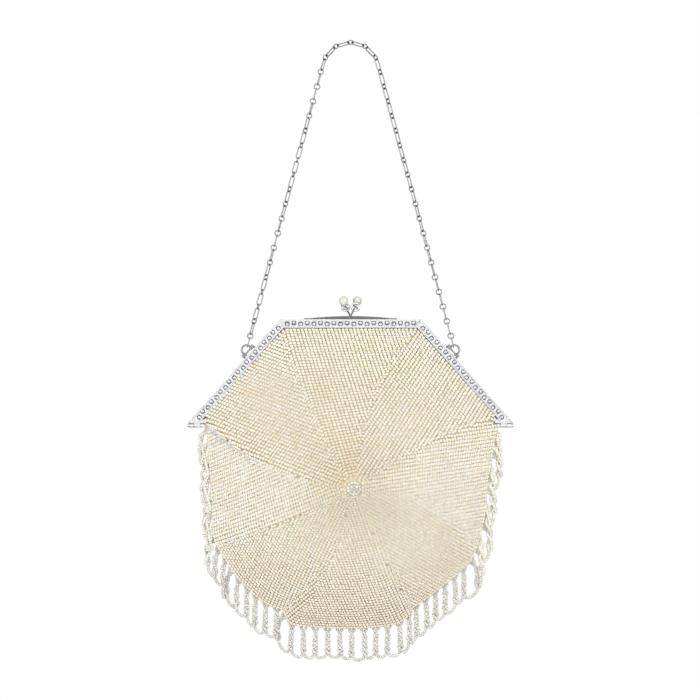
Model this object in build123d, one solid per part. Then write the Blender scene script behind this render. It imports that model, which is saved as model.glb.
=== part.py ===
from build123d import *
import os
from math import asin, atan2, cos, pi, radians, sin, sqrt, tan

# A beaded evening bag that hangs from its own chain.  Millimetres, +Z up, front towards -Y.
# The origin is the top of the round peg that carries the chain.

# ---- chain -------------------------------------------------------------------------------
wire_r = 0.3            # chain wire
ring_r = 1.4            # small ring, to the middle of its wire
link_w = 2.6            # long link, outside width
end_link_w = 2.9        # link that holds the bail, outside width
end_link_len = 5.8      # the same, outside length
chain_pitch = 7.61      # ring to ring
rings_a_side = 21       # rings on each side of the top one
peg_r = 12.45           # peg that the chain hangs over
chain_rise = 1.7        # middle of the chain above the peg's top
chain_play = 0.05       # clearance between linked wires
top_turn = 15.0         # turn of the rings on the peg about the chain, degrees
turn_step = 9.0         # further turn at each ring below the peg
end_turn = 90.0         # turn of the two end links

# ---- metal frame, both halves ------------------------------------------------------------
half_bar = 35.45        # outer corner of the top bar from the middle
foot_half = 81.5        # outer tip of a foot from the middle
arm_drop = 52.0         # top edge down to the foot's flat end
face_w = 4.2            # width of the decorated face
face_t = 1.0
wall_t = 0.9            # outer wall
half_depth = 4.6        # front face to the parting plane
part_gap = 0.1          # between the closed halves
lip_t = 0.7             # inner lip that the beadwork is sewn to
lip_depth = 1.0
channel_border = 0.7    # plain border on each side of the stone channel
channel_depth = 0.35
foot_len = 9.0          # hinge barrel along X
foot_spare = 0.2        # the foot plate is this much longer, half of it at each end
foot_t = 0.8
web_h = 2.0             # small upright web inside each foot

# ---- hinge at the feet -------------------------------------------------------------------
barrel_r = 1.05
barrel_drop = 0.1       # clearance between barrel and foot plate
hinge_pin_r = 0.4
hinge_fit = 0.02        # radial clearance on the pin
knuckle_gap = 0.1
pin_head_r = 0.7
pin_head_t = 0.3

# ---- stones ------------------------------------------------------------------------------
stone_r = 0.85
stone_table_r = 0.5
stone_girdle = 0.35
stone_crown = 0.25
stone_shift = 0.38      # each stone sits this far to one side, the next to the other
stone_corner = 1.2      # bare length of channel on each side of an upper corner
stones_on_bar = 20
stones_on_arm = 19

# ---- bails (shackles) --------------------------------------------------------------------
bail_along = 22.5       # pin from the bar's outer corner, along the arm
bail_pin_off = 1.25     # pin outside the arm's outer wall
bail_pin_r = 0.4
bail_fit = 0.05
bail_r = 2.4            # hoop, to the middle of its wire
bail_wire_r = 0.5
bail_stand = 1.1        # hoop's middle outside the pin
eye_r = 0.85
eye_len = 1.0
lug_t = 1.1
lug_gap = 0.1
lug_r = 0.95
lug_base_y = 1.6
bail_play = 0.3         # clearance between the end link and the bail's wire

# ---- clasp -------------------------------------------------------------------------------
spring_len = 46.5
spring_tab = 3.0
spring_rise = 1.1
spring_t = 0.55
spring_w = 2.0
spring_y = 0.8          # inner edge of each leaf from the parting plane
stem_r = 0.4
stem_ball_r = 0.45
stem_base_x = 0.55
stem_base_y = 4.1       # ball foot on the bar, outside the leaf
stem_seat = 0.05        # ball foot above the bar
collet_r = 2.2
collet_depth = 1.6
collet_x = 2.5
collet_up = 6.2         # collet's middle above the bar
diamond_r = 1.6
diamond_sink = 0.8
diamond_fit = 0.03
diamond_table_r = 0.95
diamond_crown = 0.35
peg_out = 1.8           # peg that carries the pearl, from the collet's middle
peg_up = 0.35
pearl_x = 3.45
pearl_y = 2.3
pearl_up = 9.25
pearl_r = 2.25
pearl_half_h = 2.55
pearl_cut = 2.2         # flat seat below the pearl's middle
dish_r = 1.2
dish_t = 0.5

# ---- beaded pouch ------------------------------------------------------------------------
seam_gap = 0.3          # beadwork clear of the metal
panel_t = 1.4           # beads on their cloth
lining_t = 0.5
lining_gap = 0.3
pouch_depth = 11.5      # middle of each side from the parting plane
edge_depth = 1.6        # outer surface at the side seam
frame_edge_depth = 4.0  # outer surface where it is sewn to the frame
centre_x = 1.75         # the gores meet here
centre_drop = 84.45
side_corner_r = (63.5, 111.0)   # right lower corner: from the middle, below the top edge
side_corner_l = (67.5, 112.5)
base_corner_r = (30.5, 145.9)
base_corner_l = (33.5, 145.9)
base_mid = (2.3, 154.5)
mid_gap = 0.3           # between the front panel's upper and lower part
ring_steps = ((0.0, 0.0), (0.06, 0.30), (0.18, 0.60), (0.36, 0.83), (0.60, 0.97), (0.86, 1.0))
rosette_r = 4.2
rosette_t = 0.9

# ---- fringe ------------------------------------------------------------------------------
fringe_t = 2.0
fringe_drop = 15.5      # below the bottom edge
fringe_side_drop = 13.95    # below the side corners
fringe_stand = 5.0      # how far the side loops stand out
fringe_flare = 2.0      # further out at the side corners
fringe_gap = 0.3

# ---- cutting -----------------------------------------------------------------------------
cut_past = 1.0          # a cutter runs this far past what it cuts

# ==== worked out from the above ===========================================================
arm_angle = atan2(arm_drop, foot_half - half_bar)       # arm below the horizontal
foot_in = foot_half - foot_len - foot_spare             # inner end of the foot plate
barrel_in = foot_in + foot_spare / 2                    # inner end of the barrel


def line_x(offset, z):
    """X of the arm's line, moved inwards by offset, at height z below the top edge."""
    return foot_half - offset / sin(arm_angle) - (z + arm_drop) / tan(arm_angle)


def arm_dirs(side):
    """Directions of an arm, upwards along it and outwards from it.  side is -1 or 1."""
    up = Vector(-side * cos(arm_angle), 0, sin(arm_angle))
    out = Vector(side * sin(arm_angle), 0, cos(arm_angle))
    return up, out


def bail_pin_local(side):
    """Middle of a bail's pin, measured from the middle of the top edge."""
    up, out = arm_dirs(side)
    return Vector(side * half_bar, 0, 0) - up * bail_along + out * bail_pin_off


def hoop_local(side):
    return bail_pin_local(side) + arm_dirs(side)[1] * bail_stand


def chain_layout():
    """Ring centres on the right side, the hoop's middle and the strand's angle.

    The chain lies on the peg, then runs straight to the middle of the bail's hoop, so the
    strand's angle follows from the frame's width and the number of rings."""
    curve_r = peg_r + chain_rise
    mid_z = -peg_r
    step = 2 * asin(chain_pitch / 2 / curve_r)
    link_span = end_link_len - 2 * wire_r
    to_hoop = ring_r - 2 * wire_r - chain_play + link_span
    to_hoop += bail_r - bail_wire_r - wire_r - bail_play
    goal_x = hoop_local(1).X

    def lay(angle):
        points = []
        turn = 0.0
        while turn <= pi / 2 - angle:
            points.append(Vector(curve_r * sin(turn), 0, mid_z + curve_r * cos(turn)))
            turn += step
        start = Vector(curve_r * cos(angle), 0, mid_z + curve_r * sin(angle))
        run = Vector(sin(angle), 0, -cos(angle))
        back = start - points[-1]
        along = back.dot(run)
        travel = -along + sqrt(along ** 2 - back.dot(back) + chain_pitch ** 2)
        while len(points) <= rings_a_side:
            points.append(start + run * travel)
            travel += chain_pitch
        return points, points[-1] + run * to_hoop

    low, high = radians(1), radians(60)
    for _ in range(60):
        angle = (low + high) / 2
        if lay(angle)[1].X < goal_x:
            low = angle
        else:
            high = angle
    points, hoop = lay(angle)
    return points, hoop, angle


ring_points, hoop_point, strand_angle = chain_layout()
top = hoop_point.Z - hoop_local(1).Z                    # the frame's top edge
hinge_z = top - arm_drop - barrel_drop - barrel_r       # axis at the feet
foot_z = top - arm_drop


# ==== helpers =============================================================================
def prism(points, y_low, y_high):
    """A plate with an outline in X and Z, between two Y values."""
    outline = Wire.make_polygon([Vector(x, y_low, z) for x, z in points], close=True)
    return extrude(Face(outline), amount=y_high - y_low, dir=(0, 1, 0))


def band(outer, inner, end_z=foot_z):
    """Outline of a strip that follows the top bar and both arms."""
    def run(offset):
        x = half_bar - offset * tan(arm_angle / 2)
        low_x = line_x(offset, end_z - top)
        z = top - offset
        return [(-low_x, end_z), (-x, z), (x, z), (low_x, end_z)]
    return run(outer) + run(inner)[::-1]


def block(x0, x1, y0, y1, z0, z1):
    middle = ((x0 + x1) / 2, (y0 + y1) / 2, (z0 + z1) / 2)
    return Pos(*middle) * Box(abs(x1 - x0), abs(y1 - y0), abs(z1 - z0))


def rod(start, end, radius):
    """A round rod between two points."""
    start, end = Vector(start), Vector(end)
    along = end - start
    base = Plane(origin=start, z_dir=along.normalized())
    return extrude(base * Circle(radius), amount=along.length)


def save(name, shape):
    shape.label = name
    export_step(shape, f"parts/{name}.step")


def group(solids):
    return Compound(children=list(solids))


# ==== chain ===============================================================================
def chain_plane(middle, along, turn):
    """Plane of a ring or link: X along the chain, Y across it, turned about the chain."""
    across = Vector(-along.Z, 0, along.X)
    across = across.rotate(Axis((0, 0, 0), along), turn)
    return Plane(origin=middle, x_dir=along, z_dir=along.cross(across))


def ring_solid():
    return Torus(ring_r, wire_r)


def link_solid(length, width):
    """A long link: two half rounds and two straight sides."""
    bend = width / 2 - wire_r
    half = length / 2 - width / 2
    path = Wire([
        Line((-half, bend), (half, bend)),
        ThreePointArc((half, bend), (half + bend, 0), (half, -bend)),
        Line((half, -bend), (-half, -bend)),
        ThreePointArc((-half, -bend), (-half - bend, 0), (-half, bend)),
    ])
    start = Plane(origin=(0, bend, 0), z_dir=(1, 0, 0))
    return sweep(start * Circle(wire_r), path=path)


def ring_turn(number):
    """The rings on the peg lie nearly flat in the bend, and the strands twist slowly below it."""
    on_peg = sum(1 for p in ring_points if p.Z > -peg_r + (peg_r + chain_rise) * sin(strand_angle))
    return top_turn + turn_step * max(0, number - on_peg + 1)


def make_chain():
    rings = []
    links = []
    ring = ring_solid()
    reach = ring_r - 2 * wire_r - chain_play
    link = link_solid(chain_pitch - 2 * reach + 2 * wire_r, link_w)
    end_link = link_solid(end_link_len, end_link_w)
    run = Vector(sin(strand_angle), 0, -cos(strand_angle))
    for number, point in enumerate(ring_points):
        before = ring_points[number - 1] if number else Vector(-ring_points[1].X, 0, ring_points[1].Z)
        after = ring_points[number + 1] if number < rings_a_side else point + run
        ahead = ((after - point).normalized() + (point - before).normalized()).normalized()
        rings.append(chain_plane(point, ahead, ring_turn(number)).location * ring)
        if number < rings_a_side:
            turn = (ring_turn(number) + ring_turn(number + 1)) / 2 + 90
            along = (after - point).normalized()
            links.append(chain_plane((point + after) / 2, along, turn).location * link)
    middle = ring_points[-1] + run * (reach + end_link_len / 2 - wire_r)
    end = chain_plane(middle, run, end_turn).location * end_link
    save("chain_rings", group(rings + [mirror(r, about=Plane.YZ) for r in rings[1:]]))
    save("chain_links", group(links + [mirror(x, about=Plane.YZ) for x in links]))
    save("chain_end_links", group([end, mirror(end, about=Plane.YZ)]))


# ==== bails ===============================================================================
def pin_location(side):
    """Local X up the arm, local Y outwards, at the middle of the bail's pin."""
    up, out = arm_dirs(side)
    origin = bail_pin_local(side) + Vector(0, 0, top)
    return Plane(origin=origin, x_dir=up, z_dir=up.cross(out)).location


def eye_at():
    return sqrt(bail_r ** 2 - bail_stand ** 2)


def lug_from():
    return bail_r + bail_wire_r + lug_gap


def make_bail(side):
    hoop = Pos(0, bail_stand, 0) * Torus(bail_r, bail_wire_r)
    size = 4 * bail_r
    hoop -= Pos(0, -size / 2, 0) * Box(size, size, size)
    for x in (-eye_at(), eye_at()):
        hoop += rod((x - eye_len / 2, 0, 0), (x + eye_len / 2, 0, 0), eye_r)
    hoop -= rod((-size, 0, 0), (size, 0, 0), bail_pin_r + bail_fit)
    return pin_location(side) * hoop


def make_bail_pin(side):
    half = lug_from() + lug_t
    return pin_location(side) * rod((-half, 0, 0), (half, 0, 0), bail_pin_r)


def make_bail_lugs(side):
    """Two lugs soldered to the rear half's outer wall, level with the parting plane."""
    rear = 1 if side > 0 else -1            # local Z that points to the rear
    lugs = []
    for sign in (-1, 1):
        near, far = sign * lug_from(), sign * (lug_from() + lug_t)
        lug = rod((min(near, far), 0, 0), (max(near, far), 0, 0), lug_r)
        base = block(near, far, -bail_pin_off, 0, rear * part_gap, rear * lug_base_y)
        lug += base
        lug -= rod((min(near, far) - cut_past, 0, 0), (max(near, far) + cut_past, 0, 0), bail_pin_r)
        lugs.append(pin_location(side) * lug)
    return lugs


# ==== metal frame =========================================================================
def half_shell(with_channel):
    """One half of the frame, as the front one: face, outer wall, sewing lip and feet."""
    face_y = -half_depth
    back_y = face_y + face_t
    part_y = -part_gap / 2
    half = prism(band(0, face_w), face_y, back_y)
    half += prism(band(0, wall_t), back_y, part_y)
    half += prism(band(face_w - lip_t, face_w), back_y, back_y + lip_depth)
    for side in (-1, 1):
        half += block(side * foot_in, side * foot_half, face_y, part_y, foot_z, foot_z + foot_t)
        web = [(foot_in, 0), (line_x(face_w, -arm_drop), 0), (line_x(face_w, web_h - arm_drop), web_h),
               (foot_in, web_h)]
        half += prism([(side * x, foot_z + z) for x, z in web], back_y, part_y)
    if with_channel:
        end_z = foot_z + channel_border + foot_t / 2
        channel = band(channel_border, face_w - channel_border, end_z)
        half -= prism(channel, face_y - cut_past, face_y + channel_depth)
    return half


def knuckles(places):
    """Hinge knuckles with the leaf that joins each to its foot plate, for the front half."""
    third = (foot_len - 2 * knuckle_gap) / 3
    parts = []
    for side in (-1, 1):
        for place in places:
            x0 = barrel_in + place * (third + knuckle_gap)
            x0, x1 = sorted((side * x0, side * (x0 + third)))
            parts.append(rod((x0, 0, hinge_z), (x1, 0, hinge_z), barrel_r))
            parts.append(block(x0, x1, -barrel_r, -part_gap / 2, hinge_z, foot_z + foot_t / 2))
    return parts


def pin_holes():
    hole_r = hinge_pin_r + hinge_fit
    reach = foot_len
    middle = foot_half - foot_len / 2
    return [rod((s * middle - reach, 0, hinge_z), (s * middle + reach, 0, hinge_z), hole_r) for s in (-1, 1)]


def make_front_frame():
    half = half_shell(True)
    for piece in knuckles([1]):
        half += piece
    for hole in pin_holes():
        half -= hole
    return half


def make_rear_frame():
    half = half_shell(False)
    for piece in knuckles([0, 2]):
        half += piece
    for hole in pin_holes():
        half -= hole
    return mirror(half, about=Plane.XZ)


def make_hinge_pin(side):
    inner = barrel_in - knuckle_gap / 2
    outer = barrel_in + foot_len + knuckle_gap / 2
    inner_end = (side * (inner - pin_head_t), 0, hinge_z)
    outer_end = (side * (outer + pin_head_t), 0, hinge_z)
    pin = rod(inner_end, outer_end, hinge_pin_r)
    pin += rod(inner_end, (side * inner, 0, hinge_z), pin_head_r)
    pin += rod((side * outer, 0, hinge_z), outer_end, pin_head_r)
    return pin


# ==== stones ==============================================================================
def stone_solid():
    """A round stone, its flat back on XY and its table towards +Z."""
    base = extrude(Circle(stone_r), amount=stone_girdle)
    crown = Pos(0, 0, stone_girdle + stone_crown / 2) * Cone(stone_r, stone_table_r, stone_crown)
    return base + crown


def stone_places(count, start, end):
    """Points in a row between two corners of the channel's middle line, moved to each side in turn."""
    start, end = Vector(start), Vector(end)
    along = (end - start).normalized()
    across = Vector(-along.Z, 0, along.X)
    step = (end - start) / count
    places = []
    for number in range(count):
        sign = 1 if number % 2 else -1
        places.append(start + step * (number + 0.5) + across * (sign * stone_shift))
    return places


def stone_rows():
    middle = face_w / 2
    x = half_bar - middle * tan(arm_angle / 2)
    low = foot_z + channel_border + foot_t / 2 + stone_r
    low_x = line_x(middle, low - top)
    z = top - middle
    turn = Vector(cos(arm_angle), 0, -sin(arm_angle)) * stone_corner
    bar = stone_places(stones_on_bar, (-x + stone_corner, 0, z), (x - stone_corner, 0, z))
    right = stone_places(stones_on_arm, (x + turn.X, 0, z + turn.Z), (low_x, 0, low))
    left = stone_places(stones_on_arm, (-low_x, 0, low), (-x - turn.X, 0, z + turn.Z))
    return {"bar": bar, "arm_right": right, "arm_left": left}


def make_stones(places):
    stone = stone_solid()
    floor = -half_depth + channel_depth
    seats = [Plane(origin=(p.X, floor, p.Z), x_dir=(1, 0, 0), z_dir=(0, -1, 0)) for p in places]
    return [seat.location * stone for seat in seats]


# ==== clasp ===============================================================================
def make_spring(front):
    """A bowed leaf on the bar's top edge, its flat ends soldered down."""
    half = spring_len / 2
    flat = half - spring_tab
    lower, upper = top, top + spring_t
    y = -spring_y if front else spring_y
    width = -spring_w if front else spring_w
    outline = Wire([
        Line((-half, y, lower), (-flat, y, lower)),
        ThreePointArc((-flat, y, lower), (0, y, lower + spring_rise), (flat, y, lower)),
        Line((flat, y, lower), (half, y, lower)),
        Line((half, y, lower), (half, y, upper)),
        Line((half, y, upper), (flat, y, upper)),
        ThreePointArc((flat, y, upper), (0, y, upper + spring_rise), (-flat, y, upper)),
        Line((-flat, y, upper), (-half, y, upper)),
        Line((-half, y, upper), (-half, y, lower)),
    ])
    return extrude(Face(outline), amount=width, dir=(0, 1, 0))


def make_knob(front):
    """Stem, collet and peg of one half's knob in one piece, with its diamond and its pearl.

    The front half's knob stands at the front and leans to the rear, and the rear half's knob is
    its half turn, but both collets open to the front."""
    turn = 1 if front else -1
    foot = Vector(-turn * stem_base_x, -turn * stem_base_y, top + stem_seat + stem_ball_r)
    middle = Vector(turn * collet_x, -turn * collet_depth / 2, top + collet_up)
    face = middle - Vector(0, collet_depth / 2, 0)
    pearl = Vector(turn * pearl_x, turn * pearl_y, top + pearl_up)
    seat = pearl - Vector(0, 0, pearl_cut)
    peg = middle + Vector(turn * peg_out, 0, peg_up)
    bend = Vector(peg.X, pearl.Y, peg.Z)
    stem = rod(foot, middle, stem_r)
    stem += Pos(foot) * Sphere(stem_ball_r)
    stem += rod(face, face + Vector(0, collet_depth, 0), collet_r)
    stem += rod(peg, bend, stem_r)
    stem += Pos(bend) * Sphere(stem_r)
    stem += rod(bend, Vector(seat.X, seat.Y, bend.Z), stem_r)
    stem += rod(seat - Vector(0, 0, dish_t), seat, dish_r)
    stem -= rod(face, face + Vector(0, diamond_sink, 0), diamond_r)
    return stem, make_diamond(face), make_pearl(pearl)


def make_diamond(face):
    """A round stone sunk in the collet's face, its table level with the face."""
    floor = face + Vector(0, diamond_sink, 0)
    girdle = face + Vector(0, diamond_crown, 0)
    base = rod(floor, girdle, diamond_r - diamond_fit)
    crown_plane = Plane(origin=face + Vector(0, diamond_crown / 2, 0), z_dir=(0, -1, 0))
    return base + crown_plane.location * Cone(diamond_r - diamond_fit, diamond_table_r, diamond_crown)


def make_pearl(middle):
    ball = scale(Sphere(1), by=(pearl_r, pearl_r, pearl_half_h))
    size = 4 * pearl_r
    ball -= Pos(0, 0, -pearl_cut - size / 2) * Box(size, size, size)
    return Pos(middle) * ball


def save_knobs():
    for word, front in (("front", True), ("rear", False)):
        stem, diamond, pearl = make_knob(front)
        save(f"{word}_knob_stem", stem)
        save(f"{word}_knob_diamond", diamond)
        save(f"{word}_knob_pearl", pearl)


# ==== pouch ===============================================================================
def pouch_outline():
    """Corner points of the pouch, (x, z, outer depth), clockwise from the top left."""
    inset = face_w + seam_gap
    x_top = half_bar - inset * tan(arm_angle / 2)
    x_side = foot_in - seam_gap
    z_arm = (foot_half - inset / sin(arm_angle) - x_side) * tan(arm_angle) - arm_drop
    points = [
        (-x_top, -inset, frame_edge_depth),
        (x_top, -inset, frame_edge_depth),
        (x_side, z_arm, frame_edge_depth),
        (x_side, -arm_drop - 2 * barrel_r, edge_depth),
        (side_corner_r[0], -side_corner_r[1], edge_depth),
        (base_corner_r[0], -base_corner_r[1], edge_depth),
        (base_mid[0], -base_mid[1], edge_depth),
        (-base_corner_l[0], -base_corner_l[1], edge_depth),
        (-side_corner_l[0], -side_corner_l[1], edge_depth),
        (-x_side, -arm_drop - 2 * barrel_r, edge_depth),
        (-x_side, z_arm, frame_edge_depth),
    ]
    return [(x, top + z, depth) for x, z, depth in points]


def dome_rings(first_step, shift):
    """Rings of points from the edge to the middle, on the front, shifted inwards by shift."""
    middle_z = top - centre_drop
    rings = []
    for share, rise in ring_steps[first_step:]:
        ring = []
        for x, z, depth in pouch_outline():
            out = depth + (pouch_depth - depth) * rise
            ring.append(Vector(x + (centre_x - x) * share, shift - out, z + (middle_z - z) * share))
        rings.append(ring)
    return rings


def dome_faces(rings):
    """Flat triangles between the rings, and the flat middle."""
    faces = []
    for outer, inner in zip(rings, rings[1:]):
        for a in range(len(outer)):
            b = (a + 1) % len(outer)
            faces.append(Face(Wire.make_polygon([outer[a], outer[b], inner[b]], close=True)))
            faces.append(Face(Wire.make_polygon([outer[a], inner[b], inner[a]], close=True)))
    faces.append(Face(Wire.make_polygon(rings[-1], close=True)))
    return faces


def dome_shell(first_step, shift, thickness):
    """A closed, evenly thick dome: the front half of the pouch or of its lining."""
    outer = dome_rings(first_step, shift)
    inner = dome_rings(first_step, shift + thickness)
    faces = dome_faces(outer) + dome_faces(inner)
    edge, back = outer[0], inner[0]
    for a in range(len(edge)):
        b = (a + 1) % len(edge)
        faces.append(Face(Wire.make_polygon([edge[a], edge[b], back[b], back[a]], close=True)))
    return Solid(Shell(faces))


def split_at_hinge(shell):
    """The part above the hinge line, which turns with the front half, and the rest."""
    size = 4 * foot_half
    above = Pos(0, 0, hinge_z + mid_gap / 2 + size / 2) * Box(size, size, size)
    below = Pos(0, 0, hinge_z - mid_gap / 2 - size / 2) * Box(size, size, size)
    return shell & above, shell & below


def save_pouch():
    panel = dome_shell(0, 0, panel_t)
    lining = dome_shell(1, panel_t + lining_gap, lining_t)
    panel_upper, panel_lower = split_at_hinge(panel)
    lining_upper, lining_lower = split_at_hinge(lining)
    save("front_panel_upper", panel_upper)
    save("front_panel_lower", panel_lower)
    save("front_lining_upper", lining_upper)
    save("front_lining_lower", lining_lower)
    save("rear_panel", mirror(panel, about=Plane.XZ))
    save("rear_lining", mirror(lining, about=Plane.XZ))
    middle = Vector(centre_x, -pouch_depth, top - centre_drop)
    rosette = rod(middle, middle - Vector(0, rosette_t, 0), rosette_r)
    save("front_rosette", rosette)
    save("rear_rosette", mirror(rosette, about=Plane.XZ))


# ==== fringe ==============================================================================
def moved(point, dx, dz):
    return (point[0] + dx, point[1] + dz)


def save_fringe():
    """Plain curtains that stand for the hanging loops, one along each edge of the pouch."""
    corners = [(x, z) for x, z, _ in pouch_outline()]
    foot_r, side_r, base_r, mid, base_l, side_l, foot_l = corners[3:10]
    gap, drop, stand = fringe_gap, fringe_drop, fringe_stand
    clear = hinge_z - barrel_r - 2 * gap

    def side_strip(foot, corner, sign):
        return [(foot[0] + sign * gap, clear), (foot[0] + sign * stand, clear - stand / 2),
                moved(corner, sign * (stand + fringe_flare), 0),
                moved(corner, sign * stand, gap - fringe_side_drop),
                moved(corner, sign * 2 * gap, -gap / 2), moved(corner, sign * 2 * gap, 0)]

    def lower_strip(corner, base, sign):
        return [moved(corner, sign * gap, -gap), moved(corner, sign * (stand - gap), -fringe_side_drop),
                moved(base, sign * gap, -drop), moved(base, sign * gap, -2 * gap)]

    bottom = [moved(base_l, 0, -2 * gap), moved(mid, 0, -2 * gap), moved(base_r, 0, -2 * gap),
              moved(base_r, 0, -drop), moved(mid, 0, -drop), moved(base_l, 0, -drop)]
    strips = {
        "fringe_left": side_strip(foot_l, side_l, -1),
        "fringe_right": side_strip(foot_r, side_r, 1),
        "fringe_lower_left": lower_strip(side_l, base_l, -1),
        "fringe_lower_right": lower_strip(side_r, base_r, 1),
        "fringe_bottom": bottom,
    }
    for name, outline in strips.items():
        save(name, prism(outline, -fringe_t / 2, fringe_t / 2))


# ==== all pieces ==========================================================================
def main():
    os.makedirs("parts", exist_ok=True)
    make_chain()
    for side, word in ((-1, "left"), (1, "right")):
        save(f"bail_{word}", make_bail(side))
        save(f"bail_pin_{word}", make_bail_pin(side))
        save(f"bail_lugs_{word}", group(make_bail_lugs(side)))
        save(f"hinge_pin_{word}", make_hinge_pin(side))
    save("front_frame", make_front_frame())
    save("rear_frame", make_rear_frame())
    for name, places in stone_rows().items():
        save(f"stones_{name}", group(make_stones(places)))
    save("front_clasp_spring", make_spring(True))
    save("rear_clasp_spring", make_spring(False))
    save_knobs()
    save_pouch()
    save_fringe()


main()
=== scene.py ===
from bisect import bisect_left
from math import atan2, cos, exp, pi, radians, sin, tan
import random

import bmesh
import bpy
import numpy as np
from mathutils import Matrix, Vector, noise


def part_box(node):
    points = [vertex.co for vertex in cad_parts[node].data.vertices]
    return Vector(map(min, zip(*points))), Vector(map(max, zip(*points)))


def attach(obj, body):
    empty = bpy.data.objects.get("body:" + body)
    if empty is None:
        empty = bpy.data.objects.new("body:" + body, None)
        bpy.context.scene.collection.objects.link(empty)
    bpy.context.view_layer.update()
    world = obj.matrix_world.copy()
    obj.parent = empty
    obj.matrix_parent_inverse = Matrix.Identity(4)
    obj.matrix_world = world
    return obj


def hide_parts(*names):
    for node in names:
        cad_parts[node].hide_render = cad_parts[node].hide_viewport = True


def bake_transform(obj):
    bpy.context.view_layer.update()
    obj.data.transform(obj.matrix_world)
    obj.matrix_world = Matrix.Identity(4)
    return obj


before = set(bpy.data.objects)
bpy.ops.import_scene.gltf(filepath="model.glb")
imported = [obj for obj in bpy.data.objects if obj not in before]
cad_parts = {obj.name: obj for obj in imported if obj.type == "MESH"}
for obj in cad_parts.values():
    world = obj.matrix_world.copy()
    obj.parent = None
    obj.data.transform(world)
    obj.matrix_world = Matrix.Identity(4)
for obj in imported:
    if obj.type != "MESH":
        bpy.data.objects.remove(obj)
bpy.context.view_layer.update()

# The look of a beaded evening bag on an octagonal metal frame that hangs from its chain.
# Metres, +Z up, front towards -Y, as in the frame that was loaded.
MM = 0.001
WELD = 0.002 * MM               # points nearer than this are one

# ---- places read from the metal frame ------------------------------------------------------
frame_low, frame_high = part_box("front_frame")
TOP_Z = frame_high.z
FOOT_HALF = frame_high.x
FACE_Y = frame_low.y
HINGE_Z = (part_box("hinge_pin_left")[0].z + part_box("hinge_pin_left")[1].z) / 2
panel_low, panel_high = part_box("rear_panel")
rosette_low, rosette_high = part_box("front_rosette")
CENTRE = Vector(((rosette_low.x + rosette_high.x) / 2, (rosette_low.z + rosette_high.z) / 2))
FULL_DEPTH = panel_high.y

# ---- metal frame ---------------------------------------------------------------------------
HALF_BAR = 35.45 * MM       # outer corner of the top bar from the middle
ARM_DROP = 52.0 * MM        # top edge down to the foot's flat end
FACE_WIDTH = 4.2 * MM
BORDER = 0.7 * MM           # plain border on each side of the sunk channel
CHANNEL_DEPTH = 0.35 * MM
ARM_ANGLE = atan2(ARM_DROP, FOOT_HALF - HALF_BAR)
FOOT_Z = TOP_Z - ARM_DROP
CHANNEL_END = FOOT_Z + 1.1 * MM
STONE_ROWS = {"stones_bar": 0.0, "stones_arm_left": ARM_ANGLE, "stones_arm_right": -ARM_ANGLE}
FLOOR_THICK = 0.06 * MM         # floor of the channel, a little darker as painted shade, and how far it goes past the last stones
FLOOR_PAST = 1.0 * MM
STONE_CUT = [n * MM for n in (0.82, 0.42, 0.3, 0.34)]   # radius, table's radius, crown, girdle
RIM_R = 1.2 * MM                # dark rim round a stone, painted shade in its seat
RIM_HEIGHT = 0.18 * MM
CUT_WIDTH = 0.42 * MM           # bright-cut wall at its foot, and how far it stands above the face
CUT_PROUD = 0.1 * MM
LINE_R = 0.15 * MM              # raised lines along the borders, and how deep their middles lie
LINE_SUNK = 0.02 * MM
LINE_INSET = 0.14 * MM          # outermost raised line from the face's outer edge
FLANGE_OVERLAP = 0.4 * MM       # pierced strip under the face, and past its inner edge; its dark metal is painted shade
FLANGE_REACH = 0.75 * MM
FLANGE_DEPTHS = (0.75 * MM, 1.05 * MM)
FLANGE_END = FOOT_Z + 2.0 * MM
SOFT_EDGE = 0.12 * MM

# ---- beadwork ------------------------------------------------------------------------------
FRAME_EDGE_DEPTH = 4.0 * MM     # beadwork's surface where it is sewn to the frame
FREE_EDGE_DEPTH = 1.6 * MM      # the same at the sides and the bottom
LEAST_DEPTH = 0.3 * MM          # nothing on one side comes nearer than this to the other side
FOOT_GAP = 1.1 * MM             # below the hinge, where the edge starts to rise to the frame's depth
FOOT_RISE = 6 * MM              # height over which it rises
CROWN = 4.3                     # how quickly the pouch fills out from its edge
SEAM_DIP = 0.1 * MM             # valley along a seam
SEAM_REACH = 2.6 * MM
RIPPLE = 0.45 * MM              # slow unevenness of the pouch, and the size of its waves
RIPPLE_SIZE = 24 * MM
RING_COUNT = 56                 # rings of beads from the edge to the middle
BEAD_PITCH = 1.87 * MM          # along a ring, in the upper gores
LOW_BEAD_PITCH = 1.68 * MM      # the same in the three lower gores
LEAN = radians(17.4)            # lean of the bead columns
STRETCHED = 3                   # beads at the end of a row that are eased apart or together
FULLNESS = 0.68                 # power that fills out a bead's corners, 1 for a plain ellipsoid
UNEVEN = 0.045 * MM             # how far beads sit from their exact places
BEAD_LIFT = 0.68 * MM           # bead's middle below the beadwork's outer surface
BEAD_SIZE = Vector((1.76, 1.38, 1.3)) * MM
SIDE_BEAD_SIZE = Vector((2.08, 1.36, 1.3)) * MM
LOW_BEAD_SIZE = Vector((1.67, 1.3, 1.24)) * MM
CLOTH_LIFT = 0.62 * MM          # knitted ground below the outer surface
CLOTH_THICK = 0.35 * MM
LINING_LIFT = 1.85 * MM
LINING_THICK = 0.3 * MM
ROSETTE_R = (rosette_high.x - rosette_low.x) / 2
ROSETTE_ROUNDS = ((1, 0.0), (6, 1.55), (12, 3.0))   # beads in each round, and its radius in millimetres
ROSETTE_SLOPE = 0.13            # its fall from the middle outwards
LINING_START = 0.03             # the lining's edge, as a share of the way from the pouch's edge inwards


def mm(*numbers):
    """Millimetres to a vector in metres."""
    return Vector([n * MM for n in numbers])


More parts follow.
